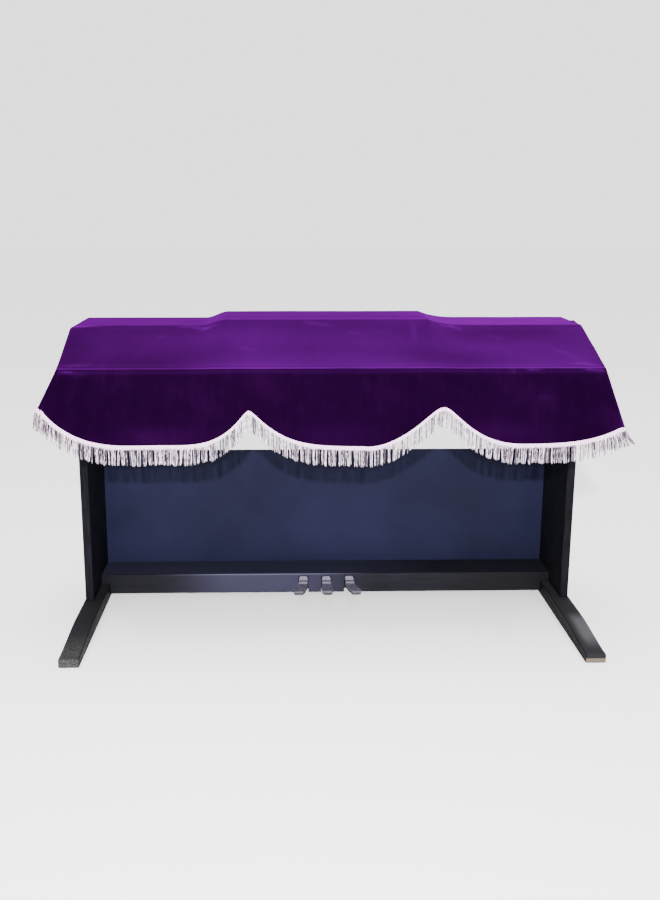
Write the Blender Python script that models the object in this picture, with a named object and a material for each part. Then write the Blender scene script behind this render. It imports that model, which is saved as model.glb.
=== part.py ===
# Velvet dust cover with a scalloped, fringed hem, lying over a console digital piano.
#
# The cover is one cloth: a flat strip along the back, a slope over the key lid, a low rise over the
# folded music rest, and drops on all four sides whose front corners flare. A white fringe hangs from
# the hem at the front and the sides. The piano under it is plain: a case on a keybed, two leg panels
# on long feet, a half-height back panel and a pedal bar with three sprung pedals.
#
# Units are metres. X runs along the keyboard, Y away from the player, Z up from the floor. Sizes are
# given from the front fold of the cloth (Y = 0) and the middle of the piano (X = 0); the parent empty
# then moves everything so that the whole object's box is centred over the origin.

import bpy
import bmesh
import random
from math import cos, exp, pi, radians, sin, sqrt
from mathutils import Vector

for old in list(bpy.data.objects):
    bpy.data.objects.remove(old, do_unlink=True)

# Gaps
GAP = 0.0003                # between pieces that touch
TRIM_GAP = 0.0006           # between the hem and the fringe's heading
EDGE_CLEAR = 0.0025         # cloth to the edges and faces that it hangs past
RUN_GAP = 0.00008           # running clearance of the pedals on their axle

# Cloth
CLOTH = 0.002               # velvet, pile included
COVER_HALF = 0.685          # outer face of the side drops at the top edge
COVER_BACK = 0.386          # outer face of the back drop
FOLD_Z = 0.7244             # front fold
FLAT_Z = 0.8073             # flat strip along the back
BREAK_Y = 0.205             # where the slope meets the flat strip
FOLD_R = 0.0035             # outer radius of the folds at the top edges
BREAK_SOFT = 0.0016         # rounding height at the slope's upper edge
BACK_HEM_Z = 0.622          # straight hem of the back drop

# Scallops of the hem: where each begins, is lowest and ends, the heights there, and how steeply it
# falls and rises. Places are X on the front and Y on the sides.
FRONT_LOBES = [
    # start, start_z, low_at, low_z, end, end_z, power_down, power_up
    (-0.685, 0.6536, -0.433, 0.5298, -0.2117, 0.6308, 4.82, 3.62),
    (-0.2117, 0.6308, 0.0855, 0.5253, 0.2815, 0.6568, 3.54, 1.96),
    (0.2815, 0.6568, 0.4975, 0.5314, 0.685, 0.5978, 2.49, 3.33),
]
PEAK_ROUND = (0.0227, 0.060)  # softness of the two peaks between the front scallops
CORNER_TOPS = (0.636, 0.583)  # the hem is highest at the front corners' ridges, left and right
LEFT_LOBE = (0.0, 0.650, 0.200, 0.5340, 0.386, 0.622, 1.90, 3.0)
RIGHT_LOBE = (0.0, 0.596, 0.190, 0.5310, 0.386, 0.622, 3.00, 3.2)

# Flare of the drop at each corner: side of X, side of Y (0 front, 1 back), its outward reach along X
# and Y at the hem, and how far along the drop it is felt.
FLARES = [
    # x_side, y_side, reach, spread
    (-1, 0, 0.0439, 0.150),
    (1, 0, 0.0465, 0.150),
    (-1, 1, 0.0090, 0.090),
    (1, 1, 0.0110, 0.090),
]
FLARE_TIP = 0.014           # roundness of the flare's ridge
CORNER_R = 0.021            # corner radius of the drops at the hem
CORNER_STEPS = 4
DROP_LEVELS = 6

# Soft waves of the hanging drops at the hem: depth, wave length, start
FRONT_WAVES = [(0.0030, 0.46, 0.7), (0.0016, 0.21, 2.1)]
SIDE_WAVES = [(0.0034, 0.27, 0.4), (0.0014, 0.13, 1.2)]
DROP_LEAN = 0.006           # outward lean of the side drops at the hem
WAVE_DROP = 0.19            # drop at which waves and lean have their full depth
WAVE_MOST = 1.3             # and the share of it at which they stop growing
FRONT_FADE = 0.15           # the waves fade out towards the corners over these lengths
SIDE_FADE = (0.10, 0.08)

# Ends of the break line: it bends forward at the left end and back at the right one.
BREAK_ENDS = [(-1, 0.165), (1, 0.232)]
BREAK_END_REACH = 0.050
# The right edge of the top is puckered into small raised nibs: place along Y, height, half-width
EDGE_NIBS = [(0.268, 0.0045, 0.020), (0.090, 0.0012, 0.030)]

# Rows and columns of the cloth's mesh
TOP_ROWS = [0.139, 0.185, 0.200, 0.215, 0.268]   # rows of the top between its front and back rows
ROW_STEP = 0.038
COLUMN_STEP = 0.036
CORNER_LAND = 0.006         # the first row or column stands this far past the corner's round
PEAK_COLUMNS = (-0.036, -0.014, 0.0, 0.014, 0.036)   # columns around each peak of the hem
LEAST_COLUMN = 0.006

# Music rest, folded flat under the cloth
REST_X = (-0.272, 0.258)
REST_Y = (0.199, 0.372)
REST_THICK = 0.0166
RISE_RAMPS = (-0.345, -0.281, 0.270, 0.372)   # foot and top of the ramps beside the rest
RISE_FRONT_SLOPE = 0.50                       # the cloth spans from the rest down to the fold

# Fringe
HEADING = 0.012             # height of the woven heading
FRINGE_LENGTH = 0.042       # locks below the heading
FRINGE_PITCH = 0.0095
LOCK_SHARE = 0.74           # a lock's width as a share of its room along the hem
LOCK_DEEP = 0.0046
LOCK_TIP = 0.74             # tip size as a share of the middle
LOCK_SWAY = 0.07            # sway of the tips as a share of the room along the hem
LOCK_LENGTHS = (0.94, 1.04)
FRINGE_END = 0.001          # the trims stop this far short of the last row on each side
LOCK_FOLLOW = 0.75          # how far the locks follow the cloth's slope rather than hang plumb
RIGHT_FLICK = 0.028         # the last locks at the right front corner flick outward
FLICK_RISE = 0.4            # and rise by this share of it
FLICKED_LOCKS = 3

# Piano
CASE_HALF = 0.6805
CASE_FRONT = CLOTH + EDGE_CLEAR
CASE_BACK = 0.381
CASE_TOP = FLAT_Z - CLOTH - GAP
CASE_BREAK_EASE = 0.014     # rounding of the case's edges under the break line, at the top and below
CASE_EDGE_EASE = 0.005
CASE_LOW_EASE = 0.0017
KEYBED_BOTTOM = 0.612
KEYBED_THICK = 0.018
KEYBED_INSET = 0.002
LEG_OUTER = 0.6785
LEG_THICK = 0.022
LEG_FRONT = 0.160
LEG_BACK = 0.382
FOOT_INNER = 0.632
FOOT_OUTER = 0.683
FOOT_TIP_Y = -0.141
FOOT_LEVEL_Y = 0.060
FOOT_BACK_Y = 0.392
FOOT_HEIGHT = 0.037
FOOT_TIP_Z = 0.023
FOOT_STEPS = 6
PANEL_FRONT = 0.370
PANEL_TOP = 0.413
BAR_FRONT = 0.272
BAR_TOP = 0.066
BAR_BOTTOM = 0.010
BAR_BOARD = 0.016
BAR_LID = 0.013
BAR_FLOOR = 0.008
PEDAL_PITCH = 0.067
PEDAL_NOTCH = 0.029
PEDAL_NOTCH_TOP = 0.0585
PIVOT = (0.345, 0.044)      # Y and Z of the pedals' axle
AXLE_R = 0.004
AXLE_HALF = 0.112
AXLE_SIDES = 24
RIB_THICK = 0.014
RIB_HALF = 0.016
RIB_BELOW = 0.014           # ribs reach this far below the axle
RIB_BEYOND = 0.002          # and past its ends
OVERCUT = 0.010             # cutters reach this far past what they cut

# The object's box is centred over the origin
CENTRE_X = 0.005148
CENTRE_Y = 0.127712


def material(name, colour, roughness, metallic=0.0):
    mat = bpy.data.materials.new(name)
    mat.use_nodes = True
    shader = mat.node_tree.nodes["Principled BSDF"]
    shader.inputs["Base Color"].default_value = (*colour, 1.0)
    shader.inputs["Roughness"].default_value = roughness
    shader.inputs["Metallic"].default_value = metallic
    return mat


VELVET = material("purple_velvet", (0.085, 0.006, 0.16), 0.9)
FRINGE = material("white_rayon_fringe", (0.82, 0.78, 0.82), 0.55)
CASE_BLACK = material("black_ash_vinyl", (0.014, 0.014, 0.016), 0.45)
PANEL_NAVY = material("dark_backboard", (0.032, 0.036, 0.062), 0.5)
PEDAL_METAL = material("nickel_plated_pedal", (0.78, 0.76, 0.78), 0.25, 1.0)

datum = bpy.data.objects.new("floor_datum", None)
bpy.context.scene.collection.objects.link(datum)
datum.location = (-CENTRE_X, -CENTRE_Y, 0.0)


def add_object(name, bm, mat, smooth_angle=None):
    mesh = bpy.data.meshes.new(name)
    bmesh.ops.recalc_face_normals(bm, faces=bm.faces)
    if bm.calc_volume(signed=True) < 0.0:
        bmesh.ops.reverse_faces(bm, faces=bm.faces)
    bm.to_mesh(mesh)
    bm.free()
    mesh.materials.append(mat)
    if smooth_angle is not None:
        mesh.shade_smooth()
        mesh.set_sharp_from_angle(angle=radians(smooth_angle))
    obj = bpy.data.objects.new(name, mesh)
    bpy.context.scene.collection.objects.link(obj)
    obj.parent = datum
    return obj


def smoothstep(a, b, t):
    t = min(1.0, max(0.0, (t - a) / (b - a)))
    return t * t * (3.0 - 2.0 * t)


def soft_min(a, b, k):
    """The lower of two heights, with the corner between them rounded by about k."""
    return 0.5 * (a + b - sqrt((a - b) ** 2 + k * k))


def soft_max(a, b, k):
    return 0.5 * (a + b + sqrt((a - b) ** 2 + k * k))


# Cover: heights of its top, its drops and its hem

def break_line(x):
    """Y of the crease between the slope and the flat strip, which bends near the ends."""
    y = BREAK_Y
    for side, end_y in BREAK_ENDS:
        near = exp(-((COVER_HALF - side * x) / BREAK_END_REACH) ** 2)
        y += (end_y - BREAK_Y) * near
    return y


def top_height(x, y):
    """Height of the cloth's outer face over the flat strip, the slope and the music rest."""
    slope = FOLD_Z + (FLAT_Z - FOLD_Z) * y / BREAK_Y
    if break_line(x) < BREAK_Y:
        slope = max(slope, FOLD_Z + (FLAT_Z - FOLD_Z) * y / break_line(x))
    base = soft_min(FLAT_Z, slope, BREAK_SOFT)
    rise_z = FLAT_Z + REST_THICK - RISE_FRONT_SLOPE * max(0.0, REST_Y[0] - y)
    left_foot, left_top, right_top, right_foot = RISE_RAMPS
    across = smoothstep(left_foot, left_top, x) * (1.0 - smoothstep(right_top, right_foot, x))
    rise = max(0.0, soft_max(rise_z, base, BREAK_SOFT) - base)
    return base + across * rise


def edge_nib(x, y):
    """Height that the puckered right edge adds, past the case's side."""
    if x < CASE_HALF:
        return 0.0
    return sum(height * exp(-((y - at) / half) ** 2) for at, height, half in EDGE_NIBS)


def lobe_height(lobe, t):
    start, start_z, low_at, low_z, end, end_z, power_down, power_up = lobe
    if t < low_at:
        return low_z + (start_z - low_z) * ((low_at - t) / (low_at - start)) ** power_down
    return low_z + (end_z - low_z) * ((t - low_at) / (end - low_at)) ** power_up


def front_hem(x):
    """Height of the front hem: where two scallops meet, the peak between them is rounded."""
    first, second, third = FRONT_LOBES
    if x < second[2]:
        return soft_min(lobe_height(first, x), lobe_height(second, x), PEAK_ROUND[0])
    return soft_min(lobe_height(second, x), lobe_height(third, x), PEAK_ROUND[1])


def spread_values(marks, step):
    """Values from the first mark to the last, through every mark, no further apart than a step."""
    values = [marks[0]]
    for a, b in zip(marks, marks[1:]):
        parts = max(1, round((b - a) / step + 0.2))
        values += [a + (b - a) * i / parts for i in range(1, parts + 1)]
    return values


def station_list(xs, ys):
    """One entry for each place around the top edge: its grid corner, its side and its corner angle."""
    stations = []
    last_x, last_y = len(xs) - 1, len(ys) - 1
    for i in range(1, last_x):
        stations.append((i, 0, "front", None))
    for step in range(CORNER_STEPS + 1):
        stations.append((last_x, 0, "corner", -0.5 * pi + 0.5 * pi * step / CORNER_STEPS))
    for j in range(1, last_y):
        stations.append((last_x, j, "right", None))
    for step in range(CORNER_STEPS + 1):
        stations.append((last_x, last_y, "corner", 0.5 * pi * step / CORNER_STEPS))
    for i in range(last_x - 1, 0, -1):
        stations.append((i, last_y, "back", None))
    for step in range(CORNER_STEPS + 1):
        stations.append((0, last_y, "corner", 0.5 * pi + 0.5 * pi * step / CORNER_STEPS))
    for j in range(last_y - 1, 0, -1):
        stations.append((0, j, "left", None))
    for step in range(CORNER_STEPS + 1):
        stations.append((0, 0, "corner", pi + 0.5 * pi * step / CORNER_STEPS))
    return stations


def hem_height(x, y, side, angle):
    """Height of the hem; a corner's round takes its height from the side that it turns towards."""
    if side == "corner":
        side_x = 1 if x > 0 else -1
        at_back = y > BREAK_Y
        past_ridge = abs(cos(angle)) - abs(sin(angle))
        along = CORNER_R * abs(past_ridge)
        if past_ridge > 0.0:
            side = "right" if side_x > 0 else "left"
            y = COVER_BACK - along if at_back else along
        else:
            side = "back" if at_back else "front"
            x = side_x * (COVER_HALF - along)
    most = CORNER_TOPS[0] if x < 0.0 else CORNER_TOPS[1]
    if side == "front":
        return min(most, front_hem(x)) if abs(x) > COVER_HALF - CORNER_R else front_hem(x)
    if side == "left":
        return min(most, lobe_height(LEFT_LOBE, y))
    if side == "right":
        return lobe_height(RIGHT_LOBE, y) if y > BREAK_Y else min(most, lobe_height(RIGHT_LOBE, y))
    return BACK_HEM_Z


def wave(table, t):
    return sum(depth * sin(2.0 * pi * t / length + start) for depth, length, start in table)


def drop_point(x, y, side, angle, z, edge_z, hem_z):
    """A point of the drops' outer face: straight down from the edge, then leaned, waved and flared."""
    share = min(WAVE_MOST, max(0.0, (edge_z - z) / WAVE_DROP))
    radius = FOLD_R + (CORNER_R - FOLD_R) * min(1.0, share)
    if side == "corner":
        side_x = 1 if x > 0 else -1
        centre_x = side_x * (COVER_HALF - radius)
        centre_y = COVER_BACK - radius if y > BREAK_Y else radius
        px = centre_x + radius * cos(angle)
        py = centre_y + radius * sin(angle)
    elif side in ("front", "back"):
        px = x
        py = 0.0 if side == "front" else COVER_BACK
    else:
        px = COVER_HALF if side == "right" else -COVER_HALF
        py = y
    bend = share ** 1.5
    if side == "front":
        ends = smoothstep(0.0, FRONT_FADE, COVER_HALF - abs(x))
        py += bend * ends * wave(FRONT_WAVES, x)
    if side in ("left", "right"):
        ends = smoothstep(0.0, SIDE_FADE[0], y) * smoothstep(0.0, SIDE_FADE[1], COVER_BACK - y)
        out = DROP_LEAN + abs(wave(SIDE_WAVES, y))
        px += (1 if side == "right" else -1) * bend * ends * out
    fall = max(0.0, (edge_z - z) / (edge_z - hem_z))
    for x_side, y_side, reach, spread in FLARES:
        corner_y = COVER_BACK if y_side else 0.0
        along = abs(px - x_side * COVER_HALF) + abs(py - corner_y)
        along = max(0.0, along - radius * (2.0 - sqrt(2.0)))
        near = (sqrt(along ** 2 + FLARE_TIP ** 2) - FLARE_TIP) / spread
        if near >= 1.0:
            continue
        weight = (1.0 - near) ** 2 * fall * reach
        px += x_side * weight
        py += (1 if y_side else -1) * weight
    return Vector((px, py, z))


def cover_grid():
    """Columns and rows of the top, with a column at each ramp of the rise and around each peak."""
    inset = COVER_HALF - FOLD_R
    near_corner = COVER_HALF - CORNER_R - CORNER_LAND
    left_foot, left_top, right_top, right_foot = RISE_RAMPS
    marks = [-inset, -near_corner, near_corner, inset]
    marks += [*RISE_RAMPS, 0.5 * (left_foot + left_top), 0.5 * (right_top + right_foot)]
    for lobe in FRONT_LOBES[:-1]:
        marks += [lobe[4] + away for away in PEAK_COLUMNS]
    marks.sort()
    apart = [m for i, m in enumerate(marks) if i == 0 or m - marks[i - 1] > LEAST_COLUMN]
    rows = [FOLD_R, CORNER_R + CORNER_LAND, *TOP_ROWS, COVER_BACK - CORNER_R - CORNER_LAND,
            COVER_BACK - FOLD_R]
    return spread_values(apart, COLUMN_STEP), spread_values(rows, ROW_STEP)


def cover_surface():
    """The outer face of the whole cloth, as one open sheet, and the outer line of its hem."""
    xs, ys = cover_grid()
    bm = bmesh.new()
    top = [[bm.verts.new((x, y, top_height(x, y) + edge_nib(x, y))) for y in ys] for x in xs]
    for i in range(len(xs) - 1):
        for j in range(len(ys) - 1):
            bm.faces.new((top[i][j], top[i + 1][j], top[i + 1][j + 1], top[i][j + 1]))
    stations = station_list(xs, ys)
    rings = []
    for i, j, side, angle in stations:
        x, y = xs[i], ys[j]
        edge_z = top[i][j].co.z
        hem_z = hem_height(x, y, side, angle)
        turn = FOLD_R * (1.0 - cos(radians(45)))
        middle = drop_point(x, y, side, angle, edge_z - turn, edge_z, hem_z)
        inward = Vector((x - middle.x, y - middle.y, 0.0))
        if inward.length > 1e-9:
            middle += inward.normalized() * min(inward.length, turn)
        column = [bm.verts.new(middle)]
        straight_top = edge_z - FOLD_R
        for level in range(DROP_LEVELS + 1):
            z = straight_top + (hem_z - straight_top) * level / DROP_LEVELS
            column.append(bm.verts.new(drop_point(x, y, side, angle, z, edge_z, hem_z)))
        rings.append(column)
    count = len(stations)
    for n in range(count):
        a, b = stations[n], stations[(n + 1) % count]
        ca, cb = rings[n], rings[(n + 1) % count]
        ta, tb = top[a[0]][a[1]], top[b[0]][b[1]]
        if ta is tb:
            bm.faces.new((ta, ca[0], cb[0]))
        else:
            bm.faces.new((ta, ca[0], cb[0], tb))
        for k in range(DROP_LEVELS + 1):
            bm.faces.new((ca[k], ca[k + 1], cb[k + 1], cb[k]))
    return bm, rings, [station[2] for station in stations]


def build_cover():
    """Gives the sheet its thickness and returns the hem, one row for each station around it."""
    bm, rings, sides = cover_surface()
    bmesh.ops.triangulate(bm, faces=[f for f in bm.faces if len(f.verts) > 3])
    bm.normal_update()
    outer_verts = list(bm.verts)
    outer_faces = list(bm.faces)
    hem_verts = {column[-1] for column in rings}
    inner = {}
    for v in outer_verts:
        inward = v.normal * v.calc_shell_factor()
        if v in hem_verts:
            inward.z = 0.0
            inward.normalize()
        inner[v] = v.co - inward * CLOTH
    inner = {v: bm.verts.new(co) for v, co in inner.items()}
    for face in outer_faces:
        bm.faces.new([inner[v] for v in reversed(face.verts)])
    count = len(rings)
    for n in range(count):
        a, b = rings[n][-1], rings[(n + 1) % count][-1]
        bm.faces.new((a, inner[a], inner[b], b))
    hem_rows = []
    for side, column in zip(sides, rings):
        low, above = column[-1], column[-2]
        hem_rows.append((side, low.co.copy(), inner[low].co.copy(), (low.co - above.co).normalized()))
    bmesh.ops.triangulate(bm, faces=[f for f in bm.faces if len(f.verts) > 3])
    add_object("cover", bm, VELVET, 35)
    return hem_rows


# Fringe: a heading strip just under the hem, with one tapered lock for each pitch

def trim_line(hem_rows, side):
    """The hem's rows along one side, from just past the ridge of one corner to short of the next."""
    half_round = CORNER_STEPS // 2
    index = [n for n, row in enumerate(hem_rows) if row[0] == side]
    span = range(index[0] - half_round, index[-1] + half_round + 1)
    return [hem_rows[n % len(hem_rows)] for n in span]


def lock_places(points):
    """Lock ends along the hem: a whole number of locks for each of its straight pieces."""
    places = []
    last = len(points) - 2
    for n, (a, b) in enumerate(zip(points, points[1:])):
        length = (b - a).length
        start = FRINGE_END / length if n == 0 else 0.0
        end = 1.0 - FRINGE_END / length if n == last else 1.0
        locks = max(1, round((end - start) * length / FRINGE_PITCH))
        places += [(n, start + (end - start) * i / locks) for i in range(locks)]
        if n == last:
            places.append((n, end))
    return places


def hem_steepness(a, b):
    """Length of a piece of the hem over its level length."""
    run = b - a
    return run.length / Vector((run.x, run.y)).length


def build_fringe(name, hem_rows, side, seed):
    rng = random.Random(seed)
    rows = trim_line(hem_rows, side)
    places = lock_places([row[1] for row in rows])
    steepness = [hem_steepness(a[1], b[1]) for a, b in zip(rows, rows[1:])]
    locks = len(places) - 1
    bm = bmesh.new()
    up_outer, up_inner, low_outer, low_inner = [], [], [], []
    frames = []
    for n, t in places:
        outer = rows[n][1].lerp(rows[n + 1][1], t)
        inner = rows[n][2].lerp(rows[n + 1][2], t)
        down = rows[n][3].lerp(rows[n + 1][3], t).normalized()
        run = rows[n + 1][1] - rows[n][1]
        level = Vector((run.x, run.y, 0.0)).normalized()
        out = level.cross(Vector((0.0, 0.0, 1.0))).normalized()
        hang = Vector((0.0, 0.0, -1.0)).lerp(down, LOCK_FOLLOW).normalized()
        frames.append((level, out, hang))
        steep = steepness[n] if t > 0.0 else max(steepness[max(0, n - 1)], steepness[n])
        gap = Vector((0.0, 0.0, -TRIM_GAP * steep))
        for line, corner in ((up_outer, outer), (up_inner, inner)):
            line.append(bm.verts.new(corner + gap))
        for line, corner in ((low_outer, outer), (low_inner, inner)):
            line.append(bm.verts.new(corner + gap + down * HEADING))
    for i in range(locks):
        bm.faces.new((up_outer[i], up_outer[i + 1], up_inner[i + 1], up_inner[i]))
        bm.faces.new((up_outer[i], low_outer[i], low_outer[i + 1], up_outer[i + 1]))
        bm.faces.new((up_inner[i], up_inner[i + 1], low_inner[i + 1], low_inner[i]))
        level, out, hang = frames[i]
        level = (level + frames[i + 1][0]).normalized()
        out = (out + frames[i + 1][1]).normalized()
        hang = (hang + frames[i + 1][2]).normalized()
        root = 0.25 * (low_outer[i].co + low_outer[i + 1].co + low_inner[i].co + low_inner[i + 1].co)
        room = abs((low_outer[i + 1].co - low_outer[i].co).dot(level))
        length = FRINGE_LENGTH * rng.uniform(*LOCK_LENGTHS)
        sway = room * LOCK_SWAY * (level * rng.uniform(-1.0, 1.0) + out * rng.uniform(-1.0, 1.0))
        flick = Vector((0.0, 0.0, 0.0))
        if side == "front" and i >= locks - FLICKED_LOCKS:
            step = (i - locks + FLICKED_LOCKS + 1) / FLICKED_LOCKS
            flick = Vector((1.0, 0.0, FLICK_RISE)) * RIGHT_FLICK * step
        ring = [low_outer[i], low_outer[i + 1], low_inner[i + 1], low_inner[i]]
        for share, size in ((0.5, 1.0), (1.0, LOCK_TIP)):
            centre = root + hang * length * share + sway * share + flick * share
            half_w = 0.5 * LOCK_SHARE * room * size
            half_d = 0.5 * LOCK_DEEP * size
            corners = [centre - level * half_w + out * half_d, centre + level * half_w + out * half_d,
                       centre + level * half_w - out * half_d, centre - level * half_w - out * half_d]
            nxt = [bm.verts.new(c) for c in corners]
            for k in range(4):
                m = (k + 1) % 4
                bm.faces.new((ring[k], nxt[k], nxt[m], ring[m]))
            ring = nxt
        bm.faces.new(ring)
    for i in (0, locks):
        end = (up_outer[i], up_inner[i], low_inner[i], low_outer[i])
        bm.faces.new(end if i == 0 else end[::-1])
    bmesh.ops.triangulate(bm, faces=[f for f in bm.faces if len(f.verts) > 3])
    return add_object(name, bm, FRINGE)


# Piano: plain boards

def box_mesh(low, high):
    bm = bmesh.new()
    bmesh.ops.create_cube(bm, size=1.0)
    low, high = Vector(low), Vector(high)
    size = high - low
    for v in bm.verts:
        v.co = low + Vector(((v.co.x + 0.5) * size.x, (v.co.y + 0.5) * size.y, (v.co.z + 0.5) * size.z))
    return bm


def bevel_modifier(obj, width, segments=2):
    bevel = obj.modifiers.new("eased_edges", "BEVEL")
    bevel.width = width
    bevel.segments = segments
    bevel.limit_method = "ANGLE"
    bevel.angle_limit = radians(30)
    return obj


def board(name, low, high, mat, edge=0.0015, segments=1):
    obj = add_object(name, box_mesh(low, high), mat)
    if edge:
        bevel_modifier(obj, edge, segments)
    return obj


def extrude_profile(name, profile, x_low, x_high, mat):
    """A closed outline of Y and Z points, extruded along X."""
    bm = bmesh.new()
    near = [bm.verts.new((x_low, y, z)) for y, z in profile]
    far = [bm.verts.new((x_high, y, z)) for y, z in profile]
    bm.faces.new(near)
    bm.faces.new(far[::-1])
    count = len(profile)
    for i in range(count):
        j = (i + 1) % count
        bm.faces.new((near[i], far[i], far[j], near[j]))
    return add_object(name, bm, mat)


def build_case():
    slope = (FLAT_Z - FOLD_Z) / BREAK_Y
    drop = (CLOTH + GAP) * sqrt(1.0 + slope * slope)
    front_z = FOLD_Z - drop + slope * CASE_FRONT
    break_y = (CASE_TOP - FOLD_Z + drop) / slope
    bottom = KEYBED_BOTTOM + KEYBED_THICK + GAP
    profile = [(CASE_FRONT, bottom), (CASE_FRONT, front_z), (break_y, CASE_TOP),
               (CASE_BACK, CASE_TOP), (CASE_BACK, bottom)]
    obj = extrude_profile("keyboard_case", profile, -CASE_HALF, CASE_HALF, CASE_BLACK)
    mesh = obj.data
    weights = mesh.attributes.new("bevel_weight_edge", "FLOAT", "EDGE")
    for edge in mesh.edges:
        a, b = (mesh.vertices[v].co for v in edge.vertices)
        at_break = abs(a.y - break_y) < 1e-4 and abs(b.y - break_y) < 1e-4
        low = max(a.z, b.z) < bottom + 1e-4
        width = CASE_BREAK_EASE if at_break else (CASE_LOW_EASE if low else CASE_EDGE_EASE)
        weights.data[edge.index].value = width / CASE_BREAK_EASE
    bevel = obj.modifiers.new("eased_edges", "BEVEL")
    bevel.width = CASE_BREAK_EASE
    bevel.segments = 2
    bevel.limit_method = "WEIGHT"
    return obj


def build_keybed():
    inset = KEYBED_INSET
    return board("keybed", (-CASE_HALF + inset, CASE_FRONT + inset, KEYBED_BOTTOM),
                 (CASE_HALF - inset, CASE_BACK - inset, KEYBED_BOTTOM + KEYBED_THICK), CASE_BLACK, 0.002)


def build_music_rest():
    low = (REST_X[0], REST_Y[0], CASE_TOP + GAP)
    high = (REST_X[1], REST_Y[1], CASE_TOP + REST_THICK)
    return board("music_rest", low, high, CASE_BLACK, 0.005, 2)


def foot_top(y):
    """Height of a foot: low at its tip, and level under the leg."""
    return FOOT_TIP_Z + (FOOT_HEIGHT - FOOT_TIP_Z) * smoothstep(FOOT_TIP_Y, FOOT_LEVEL_Y, y)


def build_foot(side, name):
    inner, outer = side * FOOT_INNER, side * FOOT_OUTER
    ys = [FOOT_TIP_Y + (FOOT_LEVEL_Y - FOOT_TIP_Y) * i / FOOT_STEPS for i in range(FOOT_STEPS + 1)]
    outline = [(FOOT_TIP_Y, 0.0)] + [(y, foot_top(y)) for y in ys]
    outline += [(FOOT_BACK_Y, FOOT_HEIGHT), (FOOT_BACK_Y, 0.0)]
    foot = extrude_profile(name, outline, min(inner, outer), max(inner, outer), CASE_BLACK)
    return bevel_modifier(foot, 0.0015, 1)


def build_leg(side, name):
    a, b = side * LEG_OUTER, side * (LEG_OUTER - LEG_THICK)
    return board(name, (min(a, b), LEG_FRONT, FOOT_HEIGHT + GAP),
                 (max(a, b), LEG_BACK, KEYBED_BOTTOM - GAP), CASE_BLACK, 0.0015)


def build_back_panel():
    half = LEG_OUTER - LEG_THICK - GAP
    return board("back_panel", (-half, PANEL_FRONT, FOOT_HEIGHT + GAP), (half, LEG_BACK, PANEL_TOP),
                 PANEL_NAVY, 0.001)


def cylinder_mesh(radius, x_low, x_high, y, z, sides):
    bm = bmesh.new()
    rings = []
    for x in (x_low, x_high):
        angles = [2.0 * pi * k / sides for k in range(sides)]
        rings.append([bm.verts.new((x, y + radius * cos(a), z + radius * sin(a))) for a in angles])
    bm.faces.new(rings[0])
    bm.faces.new(rings[1][::-1])
    for k in range(sides):
        m = (k + 1) % sides
        bm.faces.new((rings[0][k], rings[1][k], rings[1][m], rings[0][m]))
    return bm


def cut(obj, cutter):
    cutter.hide_render = True
    cutter.display_type = "WIRE"
    tool = obj.modifiers.new(cutter.name, "BOOLEAN")
    tool.operation = "DIFFERENCE"
    tool.object = cutter


def join(obj, piece):
    piece.hide_render = True
    piece.display_type = "WIRE"
    tool = obj.modifiers.new(piece.name, "BOOLEAN")
    tool.operation = "UNION"
    tool.object = piece


def build_pedal_bar():
    """A front board, lid and floor in one, with a rib at each end of the axle and a notch for each pedal."""
    half = LEG_OUTER - LEG_THICK - GAP
    back = PANEL_FRONT - GAP
    inside_y = BAR_FRONT + BAR_BOARD
    lid_z = BAR_TOP - BAR_LID
    floor_z = BAR_BOTTOM + BAR_FLOOR
    profile = [(BAR_FRONT, BAR_BOTTOM), (BAR_FRONT, BAR_TOP), (back, BAR_TOP), (back, lid_z),
               (inside_y, lid_z), (inside_y, floor_z), (back, floor_z), (back, BAR_BOTTOM)]
    bar = extrude_profile("pedal_bar", profile, -half, half, CASE_BLACK)
    for side in (-1, 1):
        a = side * (FOOT_INNER - GAP)
        b = side * (LEG_OUTER + GAP)
        step = box_mesh((min(a, b), BAR_FRONT - OVERCUT, 0.0),
                        (max(a, b), PANEL_FRONT, FOOT_HEIGHT + GAP))
        cut(bar, add_object(f"foot_step_{side}", step, CASE_BLACK))
        a = side * (AXLE_HALF - RIB_THICK)
        b = side * (AXLE_HALF + RIB_BEYOND)
        rib = box_mesh((min(a, b), PIVOT[0] - RIB_HALF, PIVOT[1] - RIB_BELOW),
                       (max(a, b), PIVOT[0] + RIB_HALF, lid_z + 0.5 * BAR_LID))
        join(bar, add_object(f"rib_{side}", rib, CASE_BLACK))
    bore = cylinder_mesh(AXLE_R + GAP, -AXLE_HALF - GAP, AXLE_HALF + GAP, *PIVOT, AXLE_SIDES)
    cut(bar, add_object("axle_bore", bore, CASE_BLACK))
    for n in (-1, 0, 1):
        middle = n * PEDAL_PITCH
        notch = box_mesh((middle - 0.5 * PEDAL_NOTCH, BAR_FRONT - OVERCUT, BAR_BOTTOM - OVERCUT),
                         (middle + 0.5 * PEDAL_NOTCH, inside_y + OVERCUT, PEDAL_NOTCH_TOP))
        cut(bar, add_object(f"notch_{n}", notch, CASE_BLACK))
    return bar


def build_axle():
    axle = cylinder_mesh(AXLE_R, -AXLE_HALF, AXLE_HALF, *PIVOT, AXLE_SIDES)
    return add_object("pedal_axle", axle, PEDAL_METAL, 40)


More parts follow.
